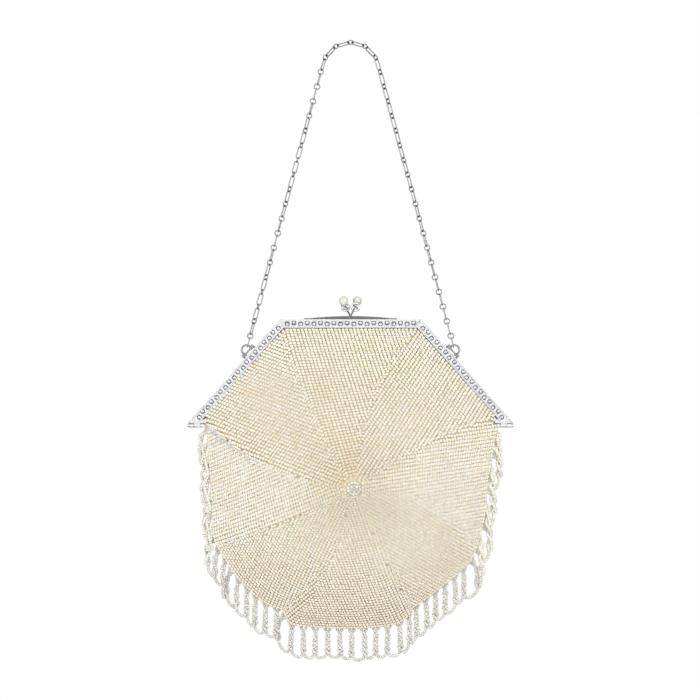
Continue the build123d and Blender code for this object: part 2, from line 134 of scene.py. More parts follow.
# Outline of the pouch in X and Z, clockwise from the top left, one run for each gore.  A run
# starts on the seam before it and ends on the seam after it.
INSET = 4.95                    # beadwork's edge from the frame's outer edge, millimetres
CORNER_X = HALF_BAR / MM - INSET * tan(ARM_ANGLE / 2)
TOP_EDGE = TOP_Z / MM - INSET
GORE_EDGES = {
    "top": [(-CORNER_X, TOP_EDGE), (CORNER_X, TOP_EDGE)],
    "upper_right": [(CORNER_X, TOP_EDGE), (71.7, -185.4), (72.1, -188.6)],
    "right": [(72.1, -188.6), (72.9, -192.2), (71.5, -200.0), (70.2, -208.0), (68.6, -217.0), (67.5, -226.0),
              (66.9, -235.0), (64.9, -244.0), (62.6, -252.5)],
    "lower_right": [(62.6, -252.5), (59.5, -258.5), (54.5, -263.6), (49.5, -267.6), (39.3, -275.8),
                    (30.25, -282.0)],
    "bottom": [(30.25, -282.0), (28.4, -286.0), (22.0, -289.7), (4.0, -291.6), (-12.0, -291.4),
               (-27.0, -290.2), (-31.3, -288.3), (-33.4, -282.3)],
    "lower_left": [(-33.4, -282.3), (-39.75, -280.3), (-45.0, -277.5), (-55.2, -268.0), (-62.5, -257.5),
                   (-67.2, -249.8)],
    "left": [(-67.2, -249.8), (-68.5, -245.0), (-69.2, -228.0), (-70.2, -210.0), (-71.3, -192.2),
             (-72.1, -188.6)],
    "upper_left": [(-72.1, -188.6), (-72.0, -185.2), (-CORNER_X, TOP_EDGE)],
}
# How far the seam at the start of each gore bows out of its straight line, as a share of its length.
SEAM_BOW = {"top": 0.03, "upper_right": 0.08, "right": 0.035, "lower_right": 0.10, "bottom": -0.02,
            "lower_left": 0.08, "left": 0.03, "upper_left": 0.085}
LOW_GORES = ("lower_right", "bottom", "lower_left")
USUAL_TONE = 0.55               # lightness of a gore's beads, from 0 to 1
# painted light: these gores get lighter beads for how the light falls on each of them
GORE_TONES_PAINTED_LIGHT = {"upper_left": 0.75, "upper_right": 0.9, "right": 0.6, "left": 0.65, "lower_left": 0.65}
GORES = list(GORE_EDGES)

# ---- fringe --------------------------------------------------------------------------------
LOOP_PITCH = 6.1 * MM           # twisted pairs along the pouch's edge
PAIR_DROP = 14.2 * MM           # length of a twisted pair
PAIR_TURNS = 2.0
STRAND_R = 0.72 * MM            # strand from the middle of its pair
EYE = 0.5                       # how much further apart the strands are at the eye near the foot
EYE_PLACE = 0.87
EYE_SIZE = 0.06
LEG_GAP = 2.9 * MM              # between the two strands of a pair where they leave the edge
LEG_SHARE = 0.34                # share of the drop in which the legs come together
SIDE_STAND = 1.4 * MM           # a side pair's distance from the edge, and each further layer's
LAYER_STAND = 1.15 * MM
LAYER_DEPTH = 1.5 * MM
SIDE_SHORTER = 1.5 * MM
SWAY = 0.7 * MM
FRINGE_BEAD = Vector((1.42, 1.6, 1.6)) * MM
FRINGE_BEAD_PITCH = 1.24 * MM
EDGE_BEAD = Vector((1.5, 1.45, 1.7)) * MM
EDGE_BEAD_PITCH = 1.55 * MM

# ---- sewing --------------------------------------------------------------------------------
STITCH_PITCH = 1.9 * MM
STITCH_LENGTH = 0.5 * MM
STITCH_REACH = 0.62 * MM        # how far a stitch goes into the beadwork
STITCH_FOOT = 0.1 * MM          # where it starts and ends, inwards from the face's edge
STITCH_DEPTH = 0.95 * MM        # its middle behind the face, and how far it swings to both sides of that
STITCH_SWING = 0.45 * MM
STITCH_TIMES = [n / 6 for n in range(7)]
SEWING_END = FOOT_Z + 3.2 * MM
SILK_R = 0.16 * MM

# ---- clasp ---------------------------------------------------------------------------------
TAB = 3.0 * MM                  # flat tab at each end of a spring leaf
LEAF_THICK = 0.55 * MM
DIAMOND_CUT = [n * MM for n in (1.5, 0.5, 0.5, 0.4)]    # as the stones' list
COLLET_R = 1.85 * MM            # rim of the collet, to the middle of its wire
COLLET_WIRE = 0.48 * MM
COLLET_SUNK = 0.3 * MM

# ---- chain ---------------------------------------------------------------------------------
CHAIN_WIRE = 0.32 * MM
CHAIN_RING_R = 1.4 * MM
LINK_BEND = 1.0 * MM            # round end of a long link, to the middle of its wire
LINK_STRAIGHT = 2.055 * MM      # half of its straight side
END_WIRE = 0.24 * MM            # finer wire of the links that the bails hang in
END_BEND = 1.15 * MM
END_STRAIGHT = 1.45 * MM
# Rings counted from the top one, and how far each of these is turned about the chain, in degrees.
RIGHT_TWIST = [(0, 45), (3, 60), (8, 50), (12, 38), (15, 24), (18, 10), (21, 0)]
LEFT_TWIST = [(0, 45), (2, 42), (4.5, 0), (9.2, -90), (14.5, -180), (18.7, -270), (21, -345)]

# ---- room and camera, with brightness 1 as white -------------------------------------------
ROOM_FRONT = 1.0
ROOM_SIDES = 0.3
BACKDROP_MIDDLE = Vector((0, 0.5, -0.155))
BACKDROP_HALF = 0.32
LIGHTS_AIM = (0, 0, -0.2)
LENS = 205.7
SENSOR = 36.0
CAMERA_PLACE = (-0.25 * MM, -2005.0 * MM, -152.55 * MM)


# ==== node trees ============================================================================
class Signal:
    """A node's output that takes part in sums.  Each operator adds one Math node."""

    def __init__(self, nodes, socket):
        self.nodes = nodes
        self.socket = socket

    def sibling(self, name):
        """Another output of the same node."""
        return Signal(self.nodes, self.socket.node.outputs[name])

    def sum_with(self, operation, first, second):
        return self.nodes.add("ShaderNodeMath", {"operation": operation}, {0: first, 1: second})

    def __add__(self, other):
        return self.sum_with("ADD", self, other)

    def __rsub__(self, other):
        return self.sum_with("SUBTRACT", other, self)

    def __mul__(self, other):
        return self.sum_with("MULTIPLY", self, other)

    __radd__ = __add__
    __rmul__ = __mul__


class Nodes:
    """Adds nodes to one tree."""

    def __init__(self, tree):
        self.tree = tree

    def add(self, kind, settings=None, sockets=None, output=0):
        """One node: its settings come first, then a value or a link for each socket."""
        node = self.tree.nodes.new(kind)
        for name, value in (settings or {}).items():
            setattr(node, name, value)
        for name, value in (sockets or {}).items():
            self.feed(node.inputs[name], value)
        return Signal(self, node.outputs[output]) if len(node.outputs) else node

    def feed(self, socket, value):
        if isinstance(value, Signal):
            self.tree.links.new(value.socket, socket)
        else:
            socket.default_value = value


class Finish(Nodes):
    """A material with one Principled shader, whose fixed numbers are set on its own sockets."""

    def __init__(self, name, **fixed):
        self.material = bpy.data.materials.new(name)
        self.material.use_nodes = True
        super().__init__(self.material.node_tree)
        self.tree.nodes.clear()
        self.shader = self.tree.nodes.new("ShaderNodeBsdfPrincipled")
        self.add("ShaderNodeOutputMaterial", {}, {"Surface": self.surface()})
        for word, value in fixed.items():
            self.feed(self.shader.inputs[word.replace("_", " ").title().replace("Ior", "IOR")], value)

    def set(self, **signals):
        """Links signals to the shader's sockets and gives the material."""
        for word, signal in signals.items():
            self.feed(self.shader.inputs[word.replace("_", " ").title()], signal)
        return self.material

    def surface(self):
        return Signal(self, self.shader.outputs[0])

    def place(self):
        return self.add("ShaderNodeTexCoord", output="Object")

    def height(self):
        """Z of the place, in metres."""
        return self.add("ShaderNodeSeparateXYZ", {}, {0: self.place()}, output=2)

    def noise(self, size, detail=2.0, squeeze=(1, 1, 1)):
        """Noise from 0 to 1, with patches of about this size in metres."""
        spot = self.add("ShaderNodeMapping", {}, {"Vector": self.place(), "Scale": squeeze})
        return self.add("ShaderNodeTexNoise", {}, {"Vector": spot, "Scale": 1 / size, "Detail": detail})

    def attribute(self, name):
        return self.add("ShaderNodeAttribute", {"attribute_name": name}, output="Fac")

    def span(self, value, low, high, to_low=0.0, to_high=1.0):
        sockets = {"Value": value, "From Min": low, "From Max": high, "To Min": to_low, "To Max": to_high}
        return self.add("ShaderNodeMapRange", {"clamp": True}, sockets)

    def mix(self, share, first, second):
        return self.add("ShaderNodeMix", {"data_type": "RGBA"}, {0: share, 6: first, 7: second}, output=2)

    def waves(self, scale, distortion, direction="DIAGONAL", detail=2.0):
        """Bands from 0 to 1, as many as scale says over a metre, give or take."""
        sockets = {"Vector": self.place(), "Scale": scale, "Distortion": distortion, "Detail": detail}
        return self.add("ShaderNodeTexWave", {"bands_direction": direction}, sockets, output=1)

    def bump(self, height, strength, distance):
        return self.add("ShaderNodeBump", {}, {"Height": height, "Strength": strength, "Distance": distance})


def colour(red, green, blue):
    """A screen colour from 0 to 255 as a linear one."""
    return [((c / 255 + 0.055) / 1.055) ** 2.4 for c in (red, green, blue)] + [1.0]


# ==== finishes ==============================================================================
def ivory_bead_finish():
    """Ivory glass beads, each with its own tone: darker round the middle, and greyer and pinker lower down as
    painted shade, for the light from above that falls less there.
    """
    finish = Finish("ivory_beads", subsurface_weight=1.0, subsurface_scale=1.6 * MM,
                    subsurface_radius=(1.0, 0.9, 0.75), ior=1.4)
    tone = finish.attribute("tone")
    warm = finish.mix(tone, colour(236, 222, 198), colour(251, 241, 223))
    patch = finish.span(finish.noise(0.016, 3.0), 0.42, 0.68)
    tinted = finish.mix(patch * 0.4, warm, colour(232, 220, 208))
    single = finish.span(finish.noise(0.0023, 1.0), 0.5, 0.68)
    golden = finish.mix(single * 0.5, tinted, colour(240, 219, 184))
    # painted shade: towards the bottom the beads turn greyer and pinker, where less light falls from above
    low = finish.span(finish.height(), CENTRE.y - 30 * MM, panel_low.z, 0.0, 0.75)
    lower_painted_shade = finish.mix(low, golden, colour(222, 209, 194))
    flat = finish.add("ShaderNodeVectorMath", {"operation": "MULTIPLY"}, {0: finish.place(), 1: (1, 0, 1)})
    middle = (CENTRE.x, 0, CENTRE.y)
    reach = finish.add("ShaderNodeVectorMath", {"operation": "DISTANCE"}, {0: flat, 1: middle}, output=1)
    # darker round the middle of the pouch
    darker_middle = finish.mix(finish.span(reach, 10 * MM, 34 * MM, 0.5, 0.0), lower_painted_shade, colour(216, 200, 174))
    rough = finish.span(tone, 0.0, 1.0, 0.6, 0.45)
    return finish.set(base_color=darker_middle, roughness=rough)


def rosette_bead_finish():
    """Whiter, glossier beads, for the rosettes and the edge."""
    finish = Finish("rosette_beads", coat_weight=0.4, coat_roughness=0.1, ior=1.5)
    tone = finish.attribute("tone")
    white = finish.mix(tone, colour(208, 201, 187), colour(251, 248, 240))
    rough = finish.span(tone, 0.0, 1.0, 0.3, 0.16)
    return finish.set(base_color=white, roughness=rough)


def fringe_bead_finish(name, dark, light):
    """Milky greyish glass that light sinks into."""
    finish = Finish(name, subsurface_weight=0.6, subsurface_scale=0.9 * MM,
                    subsurface_radius=(1.0, 0.95, 0.85), ior=1.4)
    tone = finish.attribute("tone")
    glass = finish.mix(tone, dark, light)
    rough = finish.span(tone, 0.0, 1.0, 0.6, 0.42)
    return finish.set(base_color=glass, roughness=rough)


def knit_finish():
    """Ecru silk between the beads, with the ridges of its knitting."""
    finish = Finish("knitted_silk", sheen_weight=0.25, sheen_roughness=0.5)
    cloudy = finish.noise(0.004, 4.0)
    tan_silk = finish.mix(cloudy, colour(226, 210, 184), colour(240, 228, 206))
    ridges = finish.waves(260.0, 1.5, detail=1.0)
    return finish.set(base_color=tan_silk, roughness=0.85 - 0.15 * cloudy,
                      normal=finish.bump(ridges, 0.6, 0.2 * MM))


def thread_finish():
    """Twisted sewing silk."""
    finish = Finish("sewing_silk", sheen_weight=0.3)
    twist = finish.waves(700.0, 0.5)
    silk = finish.mix(twist, colour(190, 180, 160), colour(232, 226, 210))
    return finish.set(base_color=silk, roughness=0.75 - 0.1 * twist,
                      normal=finish.bump(twist, 0.4, 0.05 * MM))


def satin_finish():
    """Cream satin lining: fine warp lines and a soft crumple."""
    finish = Finish("lining_satin", sheen_weight=0.3, sheen_roughness=0.35)
    warp = finish.waves(900.0, 0.8, "X")
    crumple = finish.noise(0.012, 3.0)
    cream = finish.mix(crumple, colour(216, 203, 176), colour(239, 230, 208))
    uneven = warp * 0.2 + crumple
    return finish.set(base_color=cream, roughness=0.5 - 0.15 * crumple,
                      normal=finish.bump(uneven, 0.5, 0.3 * MM))


def white_metal_finish(name, light, rough):
    """Polished white metal with hairline scratches, cloudy wear and a little tarnish."""
    finish = Finish(name, metallic=1.0)
    cloud = finish.noise(0.006, 4.0)
    hairs = finish.noise(0.00035, 2.0, (1.0, 1.0, 9.0))
    tarnish = finish.span(finish.noise(0.0022, 5.0), 0.56, 0.74)
    dull, clean = colour(light - 9, light - 9, light - 7), colour(light + 8, light + 8, light + 9)
    shine = finish.mix(cloud, dull, clean)
    worn = finish.mix(tarnish * 0.45, shine, colour(light - 70, light - 74, light - 78))
    roughness = finish.span(cloud + 0.35 * hairs, 0.3, 1.1, rough * 0.6, rough * 1.5)
    return finish.set(base_color=worn, roughness=roughness, normal=finish.bump(hairs, 0.12, 0.02 * MM))


def crystal_finish(name, tint, light):
    """Foiled crystal: facets that mirror the room."""
    finish = Finish(name, metallic=0.85, coat_weight=1.0, coat_roughness=0.02)
    depth = finish.noise(0.0009, 1.0)
    shade = finish.mix(depth, tint, light)
    return finish.set(base_color=shade, roughness=finish.span(depth, 0.3, 0.8, 0.03, 0.09))


def pearl_finish():
    """Nacre: milky, with a faint rose and green cast and a soft skin over it."""
    finish = Finish("nacre", coat_weight=0.7, coat_roughness=0.08, ior=1.53)
    cast = finish.noise(0.0024, 2.0)
    cool = finish.mix(cast, colour(204, 203, 193), colour(222, 218, 210))
    rings = finish.noise(0.0006, 3.0, (1.0, 1.0, 2.5))
    return finish.set(base_color=cool, roughness=finish.span(rings, 0.3, 0.8, 0.16, 0.3),
                      normal=finish.bump(rings, 0.08, 0.05 * MM))


def backdrop_finish():
    """Matt white that looks plain white to the camera, to gloss and to glass, and is open from behind."""
    finish = Finish("backdrop_white", base_color=colour(250, 250, 250), roughness=0.9)
    rays = finish.add("ShaderNodeLightPath")
    seen = rays.sibling("Is Camera Ray")
    for word in ("Is Glossy Ray", "Is Transmission Ray"):
        seen = seen + rays.sibling(word)
    glow = finish.add("ShaderNodeEmission", {}, {"Color": (1, 1, 1, 1), "Strength": 1.0})
    direct = finish.add("ShaderNodeClamp", {}, {0: seen})
    behind = finish.add("ShaderNodeNewGeometry", output="Backfacing")
    open_back = finish.add("ShaderNodeBsdfTransparent")
    front = finish.add("ShaderNodeMixShader", {}, {0: direct, 1: finish.surface(), 2: glow})
    both = finish.add("ShaderNodeMixShader", {}, {0: behind, 1: front, 2: open_back})
    finish.feed(finish.tree.nodes["Material Output"].inputs[0], both)
    return finish.material


FINISHES = {
    "ivory": ivory_bead_finish(),
    "rosette": rosette_bead_finish(),
    "fringe": fringe_bead_finish("fringe_beads", colour(203, 200, 192), colour(220, 217, 209)),
    # painted light: the side loops are the same glass as the rest, given lighter colours for the light
    # shining through them
    "painted_light_fringe": fringe_bead_finish("side_fringe_beads", colour(224, 221, 206), colour(238, 235, 222)),
    "knit": knit_finish(),
    "thread": thread_finish(),
    "satin": satin_finish(),
    "frame": white_metal_finish("frame_white_metal", 234, 0.2),
    "bright": white_metal_finish("bright_cut_metal", 236, 0.12),
    # painted shade: the chain is the same white metal as the frame, given a darker colour for the dark room
    # it reflects
    "chain": white_metal_finish("chain_white_metal_painted_dark", 160, 0.2),
    # painted shade: dark metal for the shade under the frame's inner edge and round each stone
    "painted_shade_dark": white_metal_finish("painted_shade_metal", 104, 0.35),
    # painted shade: the channel's floor is a little darker than the face
    "recess": white_metal_finish("channel_floor", 232, 0.3),
    "stone": crystal_finish("foiled_stone", colour(168, 172, 180), colour(250, 250, 252)),
    "diamond": crystal_finish("collet_diamond", colour(54, 56, 62), colour(176, 178, 184)),
    "spring": white_metal_finish("spring_steel", 122, 0.25),
    "pearl": pearl_finish(),
}


# ==== making pieces =========================================================================
def new_piece(name, mesh, finish):
    piece = bpy.data.objects.new(name, mesh)
    bpy.context.scene.collection.objects.link(piece)
    piece.data.materials.clear()
    piece.data.materials.append(FINISHES[finish])
    return piece


def plain_mesh(name, points, faces=(), edges=()):
    mesh = bpy.data.meshes.new(name)
    mesh.from_pydata([tuple(p) for p in points], list(edges), [tuple(f) for f in faces])
    mesh.update()
    return mesh


def bmesh_piece(name, work, finish, smooth=True):
    """A piece from a bmesh, with its doubles merged and its faces turned outwards."""
    bmesh.ops.remove_doubles(work, verts=work.verts, dist=1e-7)
    bmesh.ops.recalc_face_normals(work, faces=work.faces)
    mesh = bpy.data.meshes.new(name)
    work.to_mesh(mesh)
    work.free()
    for polygon in mesh.polygons:
        polygon.use_smooth = smooth
    return new_piece(name, mesh, finish)


def apply_modifiers(piece):
    """Leaves the finished shape as the piece's own mesh."""
    graph = bpy.context.evaluated_depsgraph_get()
    mesh = bpy.data.meshes.new_from_object(piece.evaluated_get(graph))
    piece.modifiers.clear()
    piece.data = mesh
    return piece


def grown(name, tree, points, finish, values, edges=(), facts=None):
    """The mesh that a node tree makes on these points, as a piece.

    facts holds attributes for the points: a name, its type and one value for each point."""
    base = plain_mesh(name, points, edges=edges)
    for word, (kind, numbers) in (facts or {}).items():
        held = base.attributes.new(word, kind, "POINT")
        field = "vector" if kind == "FLOAT_VECTOR" else "value"
        flat = [n for v in numbers for n in v] if kind == "FLOAT_VECTOR" else list(numbers)
        held.data.foreach_set(field, flat)
    piece = new_piece(name, base, finish)
    modifier = piece.modifiers.new("grow", "NODES")
    modifier.node_group = tree
    inputs = {item.name: item.identifier for item in tree.interface.items_tree if item.in_out == "INPUT"}
    for word, value in {**values, "Material": FINISHES[finish]}.items():
        modifier[inputs[word]] = value
    return apply_modifiers(piece)


class Lines:
    """Points and edges of the lines that wires, threads and strung beads grow on."""

    def __init__(self, *lines):
        self.points = []
        self.edges = []
        for line in lines:
            self.add(line)

    def add(self, points, closed=False):
        first, count = len(self.points), len(points)
        self.points += points
        self.edges += [(first + n, first + (n + 1) % count) for n in range(count if closed else count - 1)]


def wires(name, lines, finish, radius, sides):
    """Round wires or threads along these lines, as a piece."""
    return grown(name, THREADS, lines.points, finish, {"Radius": radius, "Sides": sides}, edges=lines.edges)


def strung(name, lines, finish, size, pitch, seed):
    """Beads strung along these lines, as a piece."""
    values = {"Bead size": size, "Pitch": pitch, "Seed": seed}
    return grown(name, STRUNG_BEADS, lines.points, finish, values, edges=lines.edges)


def sewn(name, places, rows, outs, tones, finish, size, seed):
    """Beads sewn down at these places, as a piece."""
    facts = {"row": ("FLOAT_VECTOR", rows), "outward": ("FLOAT_VECTOR", outs), "tone": ("FLOAT", tones)}
    return grown(name, SEWN_BEADS, places, finish, {"Bead size": size, "Seed": seed}, facts=facts)


def random_tone(chance, usual, spread):
    return min(1.0, max(0.0, chance.gauss(usual, spread)))


def tree_with(name, inputs):
    """An empty geometry tree with named inputs.  Gives its nodes and a signal for each input."""
    tree = bpy.data.node_groups.new(name, "GeometryNodeTree")
    tree.interface.new_socket("Geometry", in_out="OUTPUT", socket_type="NodeSocketGeometry")
    tree.interface.new_socket("Geometry", in_out="INPUT", socket_type="NodeSocketGeometry")
    for word, kind in inputs:
        tree.interface.new_socket(word, in_out="INPUT", socket_type="NodeSocket" + kind)
    nodes = Nodes(tree)
    start = tree.nodes.new("NodeGroupInput")
    signals = {socket.name: Signal(nodes, socket) for socket in start.outputs if socket.name}
    return tree, nodes, signals


def close_tree(nodes, geometry, material):
    """Ends a tree with real meshes that carry the material."""
    real = nodes.add("GeometryNodeRealizeInstances", {}, {0: geometry})
    painted = nodes.add("GeometryNodeSetMaterial", {}, {"Geometry": real, "Material": material})
    nodes.add("NodeGroupOutput", {}, {0: painted})


def random_vector(nodes, seed, low, high):
    sockets = {"Min": low, "Max": high, "Seed": seed}
    return nodes.add("FunctionNodeRandomValue", {"data_type": "FLOAT_VECTOR"}, sockets)


def bead_shape(nodes, size):
    """One pillow-shaped bead of 40 faces, as long as size says along X."""
    ball = nodes.add("GeometryNodeMeshUVSphere", {}, {"Segments": 8, "Rings": 5, "Radius": 1.0})
    spot = nodes.add("GeometryNodeInputPosition")
    reach = nodes.add("ShaderNodeVectorMath", {"operation": "ABSOLUTE"}, {0: spot})
    powers = (FULLNESS, FULLNESS, FULLNESS)
    fuller = nodes.add("ShaderNodeVectorMath", {"operation": "POWER"}, {0: reach, 1: powers})
    side = nodes.add("ShaderNodeVectorMath", {"operation": "SIGN"}, {0: spot})
    pillow = nodes.add("ShaderNodeVectorMath", {"operation": "MULTIPLY"}, {0: fuller, 1: side})
    shaped = nodes.add("GeometryNodeSetPosition", {}, {"Geometry": ball, "Position": pillow})
    half = nodes.add("ShaderNodeVectorMath", {"operation": "SCALE"}, {0: size, "Scale": 0.5})
    stretched = nodes.add("GeometryNodeTransform", {}, {"Geometry": shaped, "Scale": half})
    return nodes.add("GeometryNodeSetShadeSmooth", {}, {0: stretched})


def sewn_bead_tree():
    """A bead on each point, long side along the row, each one a little its own size and tilt."""
    inputs = [("Bead size", "Vector"), ("Seed", "Int"), ("Material", "Material")]
    tree, nodes, given = tree_with("sewn_beads", inputs)
    outward = nodes.add("GeometryNodeInputNamedAttribute", {"data_type": "FLOAT_VECTOR"}, {"Name": "outward"})
    row = nodes.add("GeometryNodeInputNamedAttribute", {"data_type": "FLOAT_VECTOR"}, {"Name": "row"})
    settings = {"primary_axis": "Z", "secondary_axis": "X"}
    turn = nodes.add("FunctionNodeAxesToRotation", settings, {"Primary Axis": outward, "Secondary Axis": row})
    tilt = random_vector(nodes, given["Seed"], (-0.16, -0.16, -0.22), (0.16, 0.16, 0.22))
    tilted = nodes.add("FunctionNodeRotateRotation", {"rotation_space": "LOCAL"}, {0: turn, 1: tilt})
    spread = random_vector(nodes, given["Seed"] + 1, (0.9, 0.92, 0.9), (1.05, 1.06, 1.06))
    sockets = {"Points": given["Geometry"], "Instance": bead_shape(nodes, given["Bead size"]),
               "Rotation": tilted, "Scale": spread}
    beads = nodes.add("GeometryNodeInstanceOnPoints", {}, sockets)
    for word in ("outward", "row"):
        beads = nodes.add("GeometryNodeRemoveAttribute", {}, {"Geometry": beads, "Name": word})
    close_tree(nodes, beads, given["Material"])
    return tree


def strung_bead_tree():
    """Beads threaded close together along each strand."""
    inputs = [("Bead size", "Vector"), ("Pitch", "Float"), ("Seed", "Int"), ("Material", "Material")]
    tree, nodes, given = tree_with("strung_beads", inputs)
    line = nodes.add("GeometryNodeMeshToCurve", {}, {"Mesh": given["Geometry"]})
    sockets = {"Curve": line, "Length": given["Pitch"]}
    points = nodes.add("GeometryNodeCurveToPoints", {"mode": "LENGTH"}, sockets)
    along = points.sibling("Tangent")
    turn = nodes.add("FunctionNodeAlignRotationToVector", {"axis": "X"}, {"Vector": along})
    tilt = random_vector(nodes, given["Seed"], (-3.0, -0.12, -0.12), (3.0, 0.12, 0.12))
    tilted = nodes.add("FunctionNodeRotateRotation", {"rotation_space": "LOCAL"}, {0: turn, 1: tilt})
    spread = random_vector(nodes, given["Seed"] + 1, (0.9, 0.92, 0.92), (1.05, 1.06, 1.06))
    sockets = {"Points": points, "Instance": bead_shape(nodes, given["Bead size"]),
               "Rotation": tilted, "Scale": spread}
    beads = nodes.add("GeometryNodeInstanceOnPoints", {}, sockets)
    tone = nodes.add("FunctionNodeRandomValue", {"data_type": "FLOAT"}, {"Seed": given["Seed"] + 2}, output=1)
    settings = {"data_type": "FLOAT", "domain": "INSTANCE"}
    sockets = {"Geometry": beads, "Name": "tone", "Value": tone}
    beads = nodes.add("GeometryNodeStoreNamedAttribute", settings, sockets)
    close_tree(nodes, beads, given["Material"])
    return tree


def thread_tree():
    """A round thread or wire along each line."""
    inputs = [("Radius", "Float"), ("Sides", "Int"), ("Material", "Material")]
    tree, nodes, given = tree_with("threads", inputs)
    line = nodes.add("GeometryNodeMeshToCurve", {}, {"Mesh": given["Geometry"]})
    size = {"Resolution": given["Sides"], "Radius": given["Radius"]}
    ring = nodes.add("GeometryNodeCurvePrimitiveCircle", {}, size)
    tube = nodes.add("GeometryNodeCurveToMesh", {}, {"Curve": line, "Profile Curve": ring, "Fill Caps": True})
    smooth = nodes.add("GeometryNodeSetShadeSmooth", {}, {0: tube})
    close_tree(nodes, smooth, given["Material"])
    return tree


SEWN_BEADS = sewn_bead_tree()
STRUNG_BEADS = strung_bead_tree()
THREADS = thread_tree()


# ==== shape of the pouch ====================================================================
def smooth_step(t):
    t = max(0.0, min(1.0, t))
    return t * t * (3 - 2 * t)


def running_lengths(points):
    """Length of a run of points up to each of them."""
    lengths = [0.0]
    for a, b in zip(points, points[1:]):
        lengths.append(lengths[-1] + (b - a).length)
    return lengths


def stretch_at(lengths, goal):
    """Number of the stretch of a run that this length falls in, and the share of it that lies before."""
    number = min(max(bisect_left(lengths, goal) - 1, 0), len(lengths) - 2)
    return number, (goal - lengths[number]) / (lengths[number + 1] - lengths[number])


def along_line(points, share):
    """Point at a share of the length of a run of points, rounded through them."""
    lengths = running_lengths(points)
    number, t = stretch_at(lengths, share * lengths[-1])
    step = lengths[number + 1] - lengths[number]
    before = points[max(number - 1, 0)]
    start, end = points[number], points[number + 1]
    after = points[min(number + 2, len(points) - 1)]
    leave, arrive = (end - before) / 2, (after - start) / 2
    leave *= step / max(leave.length, 1e-9) * min(1.0, leave.length / step)
    arrive *= step / max(arrive.length, 1e-9) * min(1.0, arrive.length / step)
    t2, t3 = t * t, t * t * t
    return (start * (2 * t3 - 3 * t2 + 1) + leave * (t3 - 2 * t2 + t)
            + end * (3 * t2 - 2 * t3) + arrive * (t3 - t2))


EDGES = {gore: [mm(*point) for point in points] for gore, points in GORE_EDGES.items()}


def next_gore(gore):
    return GORES[(GORES.index(gore) + 1) % len(GORES)]


def seam_point(gore, share):
    """Point of the seam at the start of a gore, from the edge at share 0 to the middle at 1."""
    end = EDGES[gore][0]
    arm = end - CENTRE
    aside = Vector((-arm.y, arm.x)) * SEAM_BOW[gore] * sin(pi * share)
    return CENTRE + arm * (1 - share) + aside


def ring_point(gore, u, share):
    """Point in X and Z on a ring of beads, u from the gore's first seam to its second."""
    first, last = EDGES[gore][0], EDGES[gore][-1]
    bulge = along_line(EDGES[gore], u) - first.lerp(last, u)
    return seam_point(gore, share).lerp(seam_point(next_gore(gore), share), u) + bulge * (1 - share) ** 2.5


def surface(gore, u, share, lift=0.0):
    """Point on the front of the beadwork, lift below its outer surface."""
    edge = along_line(EDGES[gore], u)
    spot = ring_point(gore, u, share)
    near_frame = smooth_step((edge.y - (HINGE_Z - FOOT_GAP)) / FOOT_RISE)
    edge_depth = FREE_EDGE_DEPTH + (FRAME_EDGE_DEPTH - FREE_EDGE_DEPTH) * near_frame
    rise = 1 - (1 - share) ** CROWN
    depth = edge_depth + (FULL_DEPTH - edge_depth) * rise
    chord = (EDGES[gore][-1] - EDGES[gore][0]).length * (1 - share)
    from_seam = min(u, 1 - u) * chord
    depth -= SEAM_DIP * rise * (1 - share) * exp(-(from_seam / SEAM_REACH) ** 2)
    ripple = noise.noise(Vector((spot.x, spot.y, 0.0)) / RIPPLE_SIZE)
    depth += RIPPLE * ripple * rise * (1 - rise * 0.4)
    return Vector((spot.x, -max(depth - lift, LEAST_DEPTH), spot.y))


def outward_at(gore, u, share):
    """Row direction and outward direction of the surface."""
    step = 0.004
    low, high = max(u - step, 0.0), min(u + step, 1.0)
    row = surface(gore, high, share) - surface(gore, low, share)
    inward = surface(gore, u, min(share + step, 1.0)) - surface(gore, u, max(share - step, 0.0))
    return row.normalized(), row.cross(inward).normalized()


def even_shares(gore, count, first):
    """Shares of evenly spaced rings, measured along the surface in the middle of the gore."""
    samples = 160
    lengths = running_lengths([surface(gore, 0.5, n / samples) for n in range(samples + 1)])
    goals = [lengths[-1] * (n + first) / count for n in range(count)]
    return [sum(stretch_at(lengths, goal)) / samples for goal in goals]


def ring_shares():
    """Shares of the rings, the same in every gore, so that the rings run on across the seams."""
    lists = [even_shares(gore, RING_COUNT, 0.45) for gore in GORES]
    return [sum(shares) / len(shares) for shares in zip(*lists)]


def row_phase(gore, share):
    """Where a row's first bead sits after the seam, as a share of the pitch.  Columns lean evenly."""
    chord = (EDGES[gore][-1] - EDGES[gore][0]).normalized()
    inward = Vector((chord.y, -chord.x))
    reach = (ring_point(gore, 0.5, share) - ring_point(gore, 0.5, 0.0)).dot(inward)
    first = (seam_point(gore, share) - CENTRE).dot(chord)
    return (abs(reach) * tan(LEAN) - first) / bead_pitch(gore) % 1


def bead_pitch(gore):
    return LOW_BEAD_PITCH if gore in LOW_GORES else BEAD_PITCH


def row_places(gore, length, share):
    """Distances of a row's beads from the seam at its start.

    The columns keep their pitch, and the last few beads of the row take up what is left over."""
    pitch, phase, following = bead_pitch(gore), row_phase(gore, share), next_gore(gore)
    goal = length + row_phase(following, share) * bead_pitch(following)
    count = max(1, round(goal / pitch - phase))
    anchor = max(0, count - STRETCHED)
    start = (anchor + phase) * pitch
    step = (goal - start) / (count - anchor)
    places = [(n + phase) * pitch if n < anchor else start + (n - anchor) * step for n in range(count)]
    return [place for place in places if place < length]


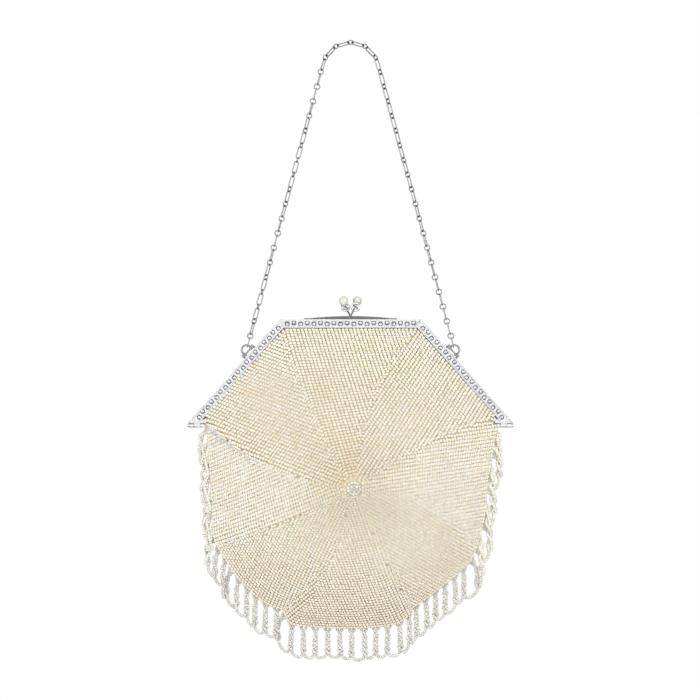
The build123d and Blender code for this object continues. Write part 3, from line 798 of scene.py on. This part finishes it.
def gore_beads(gore, shares):
    """Places, row directions and outward directions of a gore's beads, on the front."""
    samples = 48
    chance = random.Random(gore)
    places, rows, outs = [], [], []
    for share in shares:
        lengths = running_lengths([ring_point(gore, n / samples, share) for n in range(samples + 1)])
        for goal in row_places(gore, lengths[-1], share):
            u = sum(stretch_at(lengths, goal)) / samples
            if (ring_point(gore, u, share) - CENTRE).length < ROSETTE_R:
                continue
            row, out = outward_at(gore, u, share)
            uneven = row * chance.gauss(0, UNEVEN) + row.cross(out) * chance.gauss(0, UNEVEN)
            places.append(surface(gore, u, share) - out * BEAD_LIFT + uneven)
            rows.append(row)
            outs.append(out)
    return places, rows, outs


# ==== stage, lights, camera =================================================================
def make_stage():
    signs = ((-1, -1), (1, -1), (1, 1), (-1, 1))
    corners = [BACKDROP_MIDDLE + Vector((x, 0, z)) * BACKDROP_HALF for x, z in signs]
    FINISHES["backdrop"] = backdrop_finish()
    new_piece("backdrop", plain_mesh("backdrop", corners, [(0, 1, 2, 3)]), "backdrop")


def area_light(name, place, size, watts):
    lamp = bpy.data.lights.new(name, "AREA")
    lamp.shape = "RECTANGLE"
    lamp.size, lamp.size_y = size
    lamp.energy = watts
    holder = bpy.data.objects.new(name, lamp)
    bpy.context.scene.collection.objects.link(holder)
    holder.location = place
    holder.rotation_euler = (Vector(LIGHTS_AIM) - Vector(place)).to_track_quat("-Z", "Y").to_euler()


def make_room():
    """White to the camera.  It lights the bag brightly from in front, and dimly from all other sides."""
    world = bpy.data.worlds.new("room")
    world.use_nodes = True
    room = Nodes(world.node_tree)
    shade = room.tree.nodes["Background"]
    aim = room.add("ShaderNodeTexCoord", output="Generated")
    back = room.add("ShaderNodeSeparateXYZ", {}, {0: aim}, output=1)
    spread = {"Value": back, "From Min": -1.0, "From Max": -0.45, "To Min": ROOM_FRONT, "To Max": ROOM_SIDES}
    level = room.add("ShaderNodeMapRange", {"interpolation_type": "SMOOTHSTEP"}, spread)
    camera = room.add("ShaderNodeLightPath", output="Is Camera Ray")
    room.feed(shade.inputs["Strength"], room.add("ShaderNodeMix", {}, {0: camera, 2: level, 3: 1.0}))
    shade.inputs["Color"].default_value = (1, 1, 1, 1)
    bpy.context.scene.world = world
    bpy.context.scene.view_settings.view_transform = "Standard"


def make_lights():
    area_light("left_panel", (-1.1, -1.0, 0.0), (0.5, 1.2), 8.3)
    area_light("right_panel", (1.1, -1.0, 0.0), (0.5, 1.2), 8.1)
    area_light("top_panel", (0.0, -1.1, 0.9), (1.2, 0.5), 5.6)
    area_light("low_panel", (0.0, -1.1, -1.1), (1.2, 0.5), 3.6)
    area_light("back_panel", (0.0, 1.5, 0.5), (2.0, 1.2), 28.0)


def make_camera():
    lens = bpy.data.cameras.new("camera")
    lens.sensor_width = SENSOR
    lens.lens = LENS
    camera = bpy.data.objects.new("camera", lens)
    bpy.context.scene.collection.objects.link(camera)
    camera.location = CAMERA_PLACE
    camera.rotation_euler = (pi / 2, 0, 0)
    bpy.context.scene.camera = camera


# ==== beadwork ==============================================================================
def mirrored(vectors):
    return [Vector((v.x, -v.y, v.z)) for v in vectors]


def bead_size(gore):
    if gore in ("left", "right"):
        return SIDE_BEAD_SIZE
    return LOW_BEAD_SIZE if gore in LOW_GORES else BEAD_SIZE


def make_beadwork():
    """Eight gores of beads on each side of the pouch."""
    chance = random.Random(7)
    shares = ring_shares()
    for number, gore in enumerate(GORES):
        places, rows, outs = gore_beads(gore, shares)
        # some gores have lighter tones as painted light
        usual = GORE_TONES_PAINTED_LIGHT.get(gore, USUAL_TONE)
        tones = [random_tone(chance, usual, 0.27) for _ in places]
        for side in ("front", "back"):
            if side == "back":
                places, rows, outs = mirrored(places), mirrored(rows), mirrored(outs)
            name = f"{side}_beads_{gore}"
            piece = sewn(name, places, rows, outs, tones, "ivory", bead_size(gore), 11 + number)
            hang_on_frame(piece, side)


def hang_on_frame(piece, side):
    """The back stays with the rear half of the frame; the front's transform is baked into its mesh, and it is
    attached to neither half.
    """
    if side == "back":
        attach(piece, "rear_frame")
    else:
        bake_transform(piece)


def make_cloth(name, lift, thickness, finish, first_share, side):
    """A thin shell that follows the pouch below the beads."""
    work = bmesh.new()
    across, inward = 20, 34
    for gore in GORES:
        grid = []
        for j in range(inward + 1):
            share = first_share + (1 - first_share) * j / inward
            grid.append([work.verts.new(surface(gore, i / across, share, lift)) for i in range(across + 1)])
        for j in range(inward):
            for i in range(across):
                corners = [grid[j][i], grid[j][i + 1], grid[j + 1][i + 1], grid[j + 1][i]]
                work.faces.new(corners)
    bmesh.ops.remove_doubles(work, verts=work.verts, dist=WELD)
    if side == "back":
        for vert in work.verts:
            vert.co.y = -vert.co.y
    piece = bmesh_piece(name, work, finish)
    middle = min(piece.data.polygons, key=lambda p: (p.center.xz - CENTRE).length)
    if (middle.normal.y > 0) != (side == "back"):
        piece.data.flip_normals()
    solid = piece.modifiers.new("thickness", "SOLIDIFY")
    solid.thickness = thickness
    solid.offset = -1.0
    return apply_modifiers(piece)


def make_cloths():
    """The knitted ground under the beads, and the satin lining inside it."""
    panels = {"front": ("front_panel_upper", "front_panel_lower"), "back": ("rear_panel",)}
    linings = {"front": ("front_lining_upper", "front_lining_lower"), "back": ("rear_lining",)}
    for side in ("front", "back"):
        ground = make_cloth(f"{side}_knitted_ground", CLOTH_LIFT, CLOTH_THICK, "knit", 0.0, side)
        hang_on_frame(ground, side)
        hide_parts(*panels[side])
        lining = make_cloth(f"{side}_satin_lining", LINING_LIFT, LINING_THICK, "satin", LINING_START, side)
        hang_on_frame(lining, side)
        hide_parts(*linings[side])


def make_rosettes():
    """A small round of whiter beads where the gores meet."""
    chance = random.Random(5)
    places, rows, tones = [], [], []
    outermost = ROSETTE_ROUNDS[-1][1]
    for count, radius in ROSETTE_ROUNDS:
        for n in range(count):
            angle = 2 * pi * n / count + radius
            spot = CENTRE + Vector((cos(angle), sin(angle))) * radius * MM
            y = rosette_high.y - 0.1 * MM - (outermost - radius) * ROSETTE_SLOPE * MM
            places.append(Vector((spot.x, y, spot.y)))
            rows.append(Vector((-sin(angle), 0, cos(angle))))
            tones.append(random_tone(chance, 0.5, 0.35))
    for side, node, out in (("front", "front_rosette", -1), ("back", "rear_rosette", 1)):
        here = places if side == "front" else mirrored(places)
        outs = [Vector((0, out, 0))] * len(here)
        size = mm(1.6, 1.5, 1.45)
        piece = sewn(f"{side}_rosette_beads", here, rows, outs, tones, "rosette", size, 31)
        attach(piece, "rear_frame")
        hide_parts(node)


# ==== fringe ================================================================================
FRINGE_GORES = ["right", "lower_right", "bottom", "lower_left", "left"]


def free_edge():
    """The pouch's free edge, clockwise from the right foot to the left foot."""
    points = []
    for gore in FRINGE_GORES:
        points += [along_line(EDGES[gore], n / 24) for n in range(24)]
    return points + [EDGES["left"][-1]]


def fringe_units():
    """One dictionary for each twisted pair: where it leaves the edge, and how far it hangs."""
    edge = free_edge()
    lengths = running_lengths(edge)
    count = round(lengths[-1] / LOOP_PITCH)
    chance = random.Random(3)
    units = []
    for n in range(count):
        number, part = stretch_at(lengths, lengths[-1] * (n + 0.5) / count)
        along = (edge[number + 1] - edge[number]).normalized()
        out = Vector((along.y, -along.x))
        spot = edge[number].lerp(edge[number + 1], part)
        out = out if (spot - CENTRE).dot(out) > 0 else -out
        side = smooth_step((abs(out.x) - 0.55) / 0.4)
        layer = n % 3
        units.append({"top": spot, "along": along, "out": out, "side": side,
                      "stand": side * (SIDE_STAND + LAYER_STAND * layer),
                      "depth": side * (layer - 1) * LAYER_DEPTH,
                      "drop": PAIR_DROP * (1 + chance.uniform(-0.06, 0.06)) - side * SIDE_SHORTER,
                      "sway": chance.uniform(-1, 1) * SWAY * (1 - side),
                      "phase": chance.uniform(-0.35, 0.35)})
    return units


def pair_strands(unit):
    """The two strands of a twisted pair from top to bottom, the one nearer the previous pair first."""
    strands = []
    steps = 34
    for side in (0, 1):
        leg = unit["along"] * (side - 0.5) * LEG_GAP
        points = []
        for n in range(steps + 1):
            t = n / steps
            turns = PAIR_TURNS * (1 - 0.7 * unit["side"])
            angle = unit["phase"] + pi * (side + 1) + 2 * pi * turns * max(0, t - LEG_SHARE) / (1 - LEG_SHARE)
            opening = STRAND_R * (1 + EYE * exp(-((t - EYE_PLACE) / EYE_SIZE) ** 2))
            leaning = smooth_step(t * 3)
            twist = Vector((opening * cos(angle), unit["depth"] * leaning + opening * sin(angle), 0))
            aside = unit["out"] * unit["stand"] * leaning + Vector((unit["sway"] * t, 0))
            middle = unit["top"] + aside + Vector((0, -unit["drop"] * t))
            spot = Vector((middle.x, 0, middle.y))
            together = smooth_step(t / LEG_SHARE)
            points.append(spot + Vector((leg.x, 0, leg.y)) * (1 - together) + twist * together)
        strands.append(points)
    strands.sort(key=lambda points: points[-1].xz.dot(unit["along"]))
    return strands


def swag(start, end, first, second):
    """A hanging loop between the feet of two pairs, as points."""
    side = (first["side"] + second["side"]) / 2
    out = (first["out"] + second["out"]).normalized()
    reach = (end - start).length * (0.4 - 0.12 * side)
    push = Vector((out.x, 0, out.y - 0.6)).normalized() * reach
    points = []
    steps = 12
    for n in range(1, steps):
        t = n / steps
        s = 1 - t
        leaving = start * s ** 3 + (start + push) * 3 * s * s * t
        points.append(leaving + (end + push) * 3 * s * t * t + end * t ** 3)
    return points


def fringe_lines():
    """Lines of beads for each of the five regions: neighbouring loops twist round each other."""
    units = fringe_units()
    strands = [pair_strands(unit) for unit in units]
    regions = {name: [] for name in FRINGE_GORES}
    last = len(units) - 1
    regions["right"].append(strands[0][0])
    regions["left"].append(strands[last][1])
    for n in range(last):
        down, up = strands[n][1], strands[n + 1][0]
        loop = swag(down[-1], up[-1], units[n], units[n + 1])
        regions[FRINGE_GORES[n * len(FRINGE_GORES) // last]].append(down + loop + up[::-1])
    return regions


def make_fringe():
    """Loops of beads on their threads."""
    for number, (region, strands) in enumerate(fringe_lines().items()):
        lines = Lines(*strands)
        # the side loops take the lighter colours of painted light
        finish = "painted_light_fringe" if region in ("left", "right") else "fringe"
        beads = strung(f"fringe_beads_{region}", lines, finish, FRINGE_BEAD, FRINGE_BEAD_PITCH, 41 + number)
        thread = wires(f"fringe_thread_{region}", lines, "thread", SILK_R, 5)
        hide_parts(f"fringe_{region}")
        for piece in (beads, thread):
            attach(piece, "rear_frame")


def make_edge_beads():
    """One row of beads round the free edge, where front and back are joined."""
    lines = Lines([Vector((p.x, 0.0, p.y)) for p in free_edge()])
    piece = strung("edge_beads", lines, "rosette", EDGE_BEAD, EDGE_BEAD_PITCH, 61)
    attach(piece, "rear_frame")


# ==== metal frame ===========================================================================
def frame_line(offset, end_z=FOOT_Z):
    """Corners of a line that follows the top bar and both arms, offset inwards, in X and Z."""
    x = HALF_BAR - offset * tan(ARM_ANGLE / 2)
    low_x = FOOT_HALF - offset / sin(ARM_ANGLE) - (end_z - FOOT_Z) / tan(ARM_ANGLE)
    z = TOP_Z - offset
    return [Vector((-low_x, end_z)), Vector((-x, z)), Vector((x, z)), Vector((low_x, end_z))]


def islands(node):
    """Middles of the separate solids in a CAD node, from left to right."""
    work = bmesh.new()
    work.from_mesh(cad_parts[node].data)
    bmesh.ops.remove_doubles(work, verts=work.verts, dist=1e-6)
    left = set(work.verts)
    middles = []
    while left:
        group = {left.pop()}
        border = set(group)
        while border:
            border = {link.other_vert(vert) for vert in border for link in vert.link_edges} - group
            group |= border
        left -= group
        lows = [min(v.co[n] for v in group) for n in range(3)]
        highs = [max(v.co[n] for v in group) for n in range(3)]
        middles.append((Vector(lows) + Vector(highs)) / 2)
    work.free()
    return sorted(middles, key=lambda m: m.x)


def add_brilliant(work, middle, radius, table, crown, girdle, spin):
    """A faceted round stone with its table towards -Y.  middle is on its girdle's back."""
    rings = [(radius, 0.0, 16, 0.0), (radius, girdle, 16, 0.0),
             (radius * 0.86, girdle + crown * 0.5, 8, pi / 8), (table, girdle + crown, 8, 0.0)]
    verts = []
    for r, rise, count, turn in rings:
        for n in range(count):
            angle = spin + turn + 2 * pi * n / count
            verts.append(work.verts.new(middle + Vector((r * cos(angle), -rise, r * sin(angle)))))
    bmesh.ops.convex_hull(work, input=verts)


def make_stones():
    """The round stones, each one cut with a table and a double crown."""
    chance = random.Random(9)
    for node in STONE_ROWS:
        back_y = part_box(node)[1].y
        work = bmesh.new()
        for middle in islands(node):
            seat = Vector((middle.x, back_y, middle.z))
            add_brilliant(work, seat, *STONE_CUT, chance.uniform(0, pi / 4))
        piece = bmesh_piece(node.replace("stones", "cut_stones"), work, "stone", smooth=False)
        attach(piece, "front_frame")
        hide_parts(node)


def make_stone_seats():
    """The channel's floor, a little darker than the face as painted shade in the sunk channel, and a dark rim
    of painted shade round each stone.
    """
    floor_y = FACE_Y + CHANNEL_DEPTH
    floor, rims = bmesh.new(), bmesh.new()
    half = FACE_WIDTH / 2 - BORDER
    for node, angle in STONE_ROWS.items():
        middles = islands(node)
        along = Vector((cos(angle), 0, sin(angle)))
        across = Vector((-along.z, 0, along.x))
        centre = (middles[0] + middles[-1]) / 2
        level = sum((m - centre).dot(across) for m in middles) / len(middles)
        reach = (middles[-1] - middles[0]).length / 2 + FLOOR_PAST
        middle = centre + across * level
        turn = Matrix((along, Vector((0, 1, 0)), across)).transposed().to_4x4()
        size = Matrix.Diagonal((2 * reach, FLOOR_THICK, 2 * half, 1))
        middle.y = floor_y - 0.01 * MM
        bmesh.ops.create_cube(floor, size=1.0, matrix=Matrix.Translation(middle) @ turn @ size)
        for m in middles:
            seat = Matrix.Translation((m.x, floor_y - RIM_HEIGHT / 2, m.z)) @ Matrix.Rotation(pi / 2, 4, "X")
            bmesh.ops.create_cone(rims, cap_ends=True, segments=20, radius1=RIM_R, radius2=RIM_R,
                                  depth=RIM_HEIGHT, matrix=seat)
    for name, work, finish in (("channel_floor", floor, "recess"), ("stone_rims", rims, "painted_shade_dark")):
        piece = bmesh_piece(name, work, finish, smooth=False)
        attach(piece, "front_frame")


def ridge_mesh(work, line, width, height, floor_y):
    """A ridge with a sharp crest along a line in X and Z, standing on the channel's floor."""
    profile = []
    for number, spot in enumerate(line):
        before, after = line[max(number - 1, 0)], line[min(number + 1, len(line) - 1)]
        into, leave = (spot - before), (after - spot)
        along = ((into.normalized() if into.length else leave.normalized())
                 + (leave.normalized() if leave.length else into.normalized())).normalized()
        aside = Vector((-along.y, along.x)) * width / 2
        profile.append([work.verts.new((spot.x + aside.x, floor_y, spot.y + aside.y)),
                        work.verts.new((spot.x, floor_y - height, spot.y)),
                        work.verts.new((spot.x - aside.x, floor_y, spot.y - aside.y))])
    for a, b in zip(profile, profile[1:]):
        for n in range(3):
            work.faces.new([a[n], b[n], b[(n + 1) % 3], a[(n + 1) % 3]])
    work.faces.new(profile[0][::-1])
    work.faces.new(profile[-1])


def make_bright_cuts():
    """Sharp walls that zigzag between the stones, so that each stone sits in a triangle."""
    work = bmesh.new()
    floor_y = FACE_Y + CHANNEL_DEPTH
    half_channel = FACE_WIDTH / 2 - BORDER - 0.05 * MM
    for node, angle in STONE_ROWS.items():
        along = Vector((cos(angle), sin(angle)))
        across = Vector((-along.y, along.x))
        middles = [m.xz for m in islands(node)]
        centre = sum((m.dot(across) for m in middles)) / len(middles)
        line = []
        for m in middles:
            side = -1 if m.dot(across) > centre else 1
            line.append(m + across * (centre - m.dot(across) + side * half_channel))
        step = (middles[-1] - middles[0]).dot(along) / (len(middles) - 1)
        first = line[0] - along * step + across * (line[1] - line[0]).dot(across)
        last = line[-1] + along * step + across * (line[-2] - line[-1]).dot(across)
        ridge_mesh(work, [first] + line + [last], CUT_WIDTH, CHANNEL_DEPTH + CUT_PROUD, floor_y)
    piece = bmesh_piece("bright_cut_walls", work, "bright", smooth=False)
    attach(piece, "front_frame")


def make_border_lines():
    """Fine raised lines along the borders of the face."""
    low_end = FOOT_Z + 0.1 * MM
    upper, lower = frame_line(BORDER, CHANNEL_END), frame_line(FACE_WIDTH - BORDER, CHANNEL_END)
    outlines = [frame_line(LINE_INSET, low_end), upper, lower, frame_line(FACE_WIDTH - 0.12 * MM, low_end)]
    outlines += [[Vector((sign * p.x, p.y)) for p in (upper[3], lower[3])] for sign in (-1, 1)]
    lines = Lines(*[[Vector((p.x, FACE_Y + LINE_SUNK, p.y)) for p in outline] for outline in outlines])
    piece = wires("border_lines", lines, "frame", LINE_R, 8)
    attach(piece, "front_frame")


def make_flange():
    """The pierced strip inside the frame that the beadwork is sewn to, in dark metal that paints the shade
    under the face's inner edge.
    """
    outer = frame_line(FACE_WIDTH - FLANGE_OVERLAP, FLANGE_END)
    inner = frame_line(FACE_WIDTH + FLANGE_REACH, FLANGE_END)
    strip = outer + inner[::-1]
    for side, body, sign in (("front", "front_frame", 1), ("back", "rear_frame", -1)):
        work = bmesh.new()
        layers = [[work.verts.new((p.x, sign * (FACE_Y + depth), p.y)) for p in strip]
                  for depth in FLANGE_DEPTHS]
        for n in range(3):
            for layer in layers:
                work.faces.new([layer[n], layer[n + 1], layer[6 - n], layer[7 - n]])
        for n in range(8):
            m = (n + 1) % 8
            work.faces.new([layers[0][n], layers[0][m], layers[1][m], layers[1][n]])
        piece = bmesh_piece(f"{side}_pierced_flange", work, "painted_shade_dark", smooth=False)
        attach(piece, body)


def make_sewing():
    """Silk loops that hold the beadwork to the inner edge of both halves."""
    corners = frame_line(FACE_WIDTH, SEWING_END)
    for side, body, sign in (("front", "front_frame", 1), ("back", "rear_frame", -1)):
        lines = Lines()
        for a, b in zip(corners, corners[1:]):
            along = (b - a).normalized()
            inward = Vector((along.y, -along.x))
            count = int((b - a).length / STITCH_PITCH)
            for n in range(count):
                spot = a + (b - a) * (n + 0.5) / count
                stitch = []
                for t in STITCH_TIMES:
                    reach = inward * (STITCH_FOOT + STITCH_REACH * sin(pi * t))
                    place = spot + reach + along * STITCH_LENGTH * (t - 0.5)
                    y = FACE_Y + STITCH_DEPTH - STITCH_SWING * cos(pi * t)
                    stitch.append(Vector((place.x, sign * y, place.y)))
                lines.add(stitch)
        piece = wires(f"{side}_sewing", lines, "thread", SILK_R, 6)
        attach(piece, body)


def dress_metal():
    """Edges are softened on the frame halves, the bail lugs and the hinge pins, and every CAD piece gets its
    finish.
    """
    for name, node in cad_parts.items():
        if "spring" in name:
            finish = "spring"
        elif name.startswith(("chain", "bail")) or "stem" in name:
            finish = "chain"
        elif "pearl" in name:
            finish = "pearl"
        else:
            finish = "frame"
        node.data.materials.clear()
        node.data.materials.append(FINISHES[finish])
    for name in ("front_frame", "rear_frame", "bail_lugs_left", "bail_lugs_right",
                 "hinge_pin_left", "hinge_pin_right"):
        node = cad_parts[name]
        weld = node.modifiers.new("weld", "WELD")
        weld.merge_threshold = WELD
        bevel = node.modifiers.new("soft_edges", "BEVEL")
        bevel.width = SOFT_EDGE
        bevel.segments = 2
        bevel.limit_method = "ANGLE"
        bevel.angle_limit = radians(40)
        bevel.harden_normals = True


# ==== chain =================================================================================
def turn_at(stops, number):
    """Turn of a ring about the chain, in degrees, from a few known rings of its strand."""
    for (first, low), (last, high) in zip(stops, stops[1:]):
        if number <= last:
            return low + (high - low) * (number - first) / (last - first)
    return stops[-1][1]


def turned_frame(along, turn):
    """Direction across the chain, in the plane of a ring or link that is turned about the chain."""
    flat = Vector((-along.z, 0, along.x))
    return flat * cos(turn) + Vector((0, -1, 0)) * sin(turn)


def round_ring(middle, along, across, radius, count):
    turns = [2 * pi * n / count for n in range(count)]
    return [middle + (along * cos(turn) + across * sin(turn)) * radius for turn in turns]


def long_link(middle, along, across, straight, bend):
    """A link with two straight sides and round ends."""
    points = []
    for sign in (1, -1):
        for angle in (pi * n / 9 - pi / 2 for n in range(10)):
            reach = straight + bend * cos(angle)
            points.append(middle + (along * reach + across * bend * sin(angle)) * sign)
    return points


def make_chain():
    """Small round rings and long links.  Both strands twist, the left one faster."""
    centres = islands("chain_rings")
    top = len(centres) // 2
    turns = []
    for number in range(len(centres)):
        stops = LEFT_TWIST if number < top else RIGHT_TWIST
        turns.append(radians(turn_at(stops, abs(number - top))))
    rings, links = Lines(), Lines()
    for number, centre in enumerate(centres):
        before, after = centres[max(number - 1, 0)], centres[min(number + 1, len(centres) - 1)]
        along = (after - before).normalized()
        across = turned_frame(along, turns[number])
        rings.add(round_ring(centre, along, across, CHAIN_RING_R, 20), closed=True)
        if number + 1 < len(centres):
            middle, along = (centre + after) / 2, (after - centre).normalized()
            across = turned_frame(along, (turns[number] + turns[number + 1]) / 2 + pi / 2)
            links.add(long_link(middle, along, across, LINK_STRAIGHT, LINK_BEND), closed=True)
    for name, lines in (("chain_rings", rings), ("chain_links", links)):
        piece = wires(name.replace("chain", "wire"), lines, "chain", CHAIN_WIRE, 8)
        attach(piece, "chain")
        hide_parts(name)


def make_end_links():
    """The two links that the bails hang in, set as their solids are."""
    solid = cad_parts["chain_end_links"]
    lines = Lines()
    for side in (-1, 1):
        corners = np.array([v.co for v in solid.data.vertices if v.co.x * side > 0])
        middle = (corners.max(axis=0) + corners.min(axis=0)) / 2
        axes = np.linalg.eigh(np.cov((corners - middle).T))[1]
        along, across = Vector(axes[:, 2]), Vector(axes[:, 1])
        lines.add(long_link(Vector(middle), along, across, END_STRAIGHT, END_BEND), closed=True)
    piece = wires("wire_end_links", lines, "chain", END_WIRE, 8)
    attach(piece, "chain")
    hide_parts("chain_end_links")


# ==== clasp =================================================================================
def make_spring_leaves():
    """The bowed leaves on the bar: flat below, thin at the ends and full in the middle."""
    steps = 24
    for half in ("front", "rear"):
        low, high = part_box(f"{half}_clasp_spring")
        reach = high.x - TAB
        tab_top = low.z + LEAF_THICK
        outline = [Vector((low.x, low.z)), Vector((high.x, low.z)), Vector((high.x, tab_top))]
        for n in range(steps + 1):
            t = 1 - 2 * n / steps
            outline.append(Vector((reach * t, tab_top + (high.z - tab_top) * (1 - t * t))))
        outline.append(Vector((low.x, tab_top)))
        work = bmesh.new()
        near = [work.verts.new((p.x, low.y, p.y)) for p in outline]
        far = [work.verts.new((p.x, high.y, p.y)) for p in outline]
        work.faces.new(near)
        work.faces.new(far[::-1])
        for n in range(len(outline)):
            m = (n + 1) % len(outline)
            work.faces.new([near[n], far[n], far[m], near[m]])
        piece = bmesh_piece(f"{half}_spring_leaf", work, "spring", smooth=False)
        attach(piece, f"{half}_frame")
        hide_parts(f"{half}_clasp_spring")


def make_clasp_stones():
    """A cut diamond in each collet, and a round wire rim round it."""
    for half in ("front", "rear"):
        low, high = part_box(f"{half}_knob_diamond")
        middle = (low + high) / 2
        work = bmesh.new()
        add_brilliant(work, Vector((middle.x, high.y, middle.z)), *DIAMOND_CUT, 0.2)
        piece = bmesh_piece(f"{half}_cut_diamond", work, "diamond", smooth=False)
        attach(piece, f"{half}_knob")
        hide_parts(f"{half}_knob_diamond")
        lines = Lines()
        rim = Vector((middle.x, low.y + COLLET_SUNK, middle.z))
        lines.add(round_ring(rim, Vector((1, 0, 0)), Vector((0, 0, 1)), COLLET_R, 32), closed=True)
        collet = wires(f"{half}_collet_rim", lines, "bright", COLLET_WIRE, 10)
        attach(collet, f"{half}_knob")


make_camera()
make_stage()
make_room()
make_lights()
dress_metal()
make_cloths()
make_beadwork()
make_rosettes()
make_edge_beads()
make_fringe()
make_stones()
make_stone_seats()
make_bright_cuts()
make_border_lines()
make_flange()
make_sewing()
make_spring_leaves()
make_clasp_stones()
make_chain()
make_end_links()
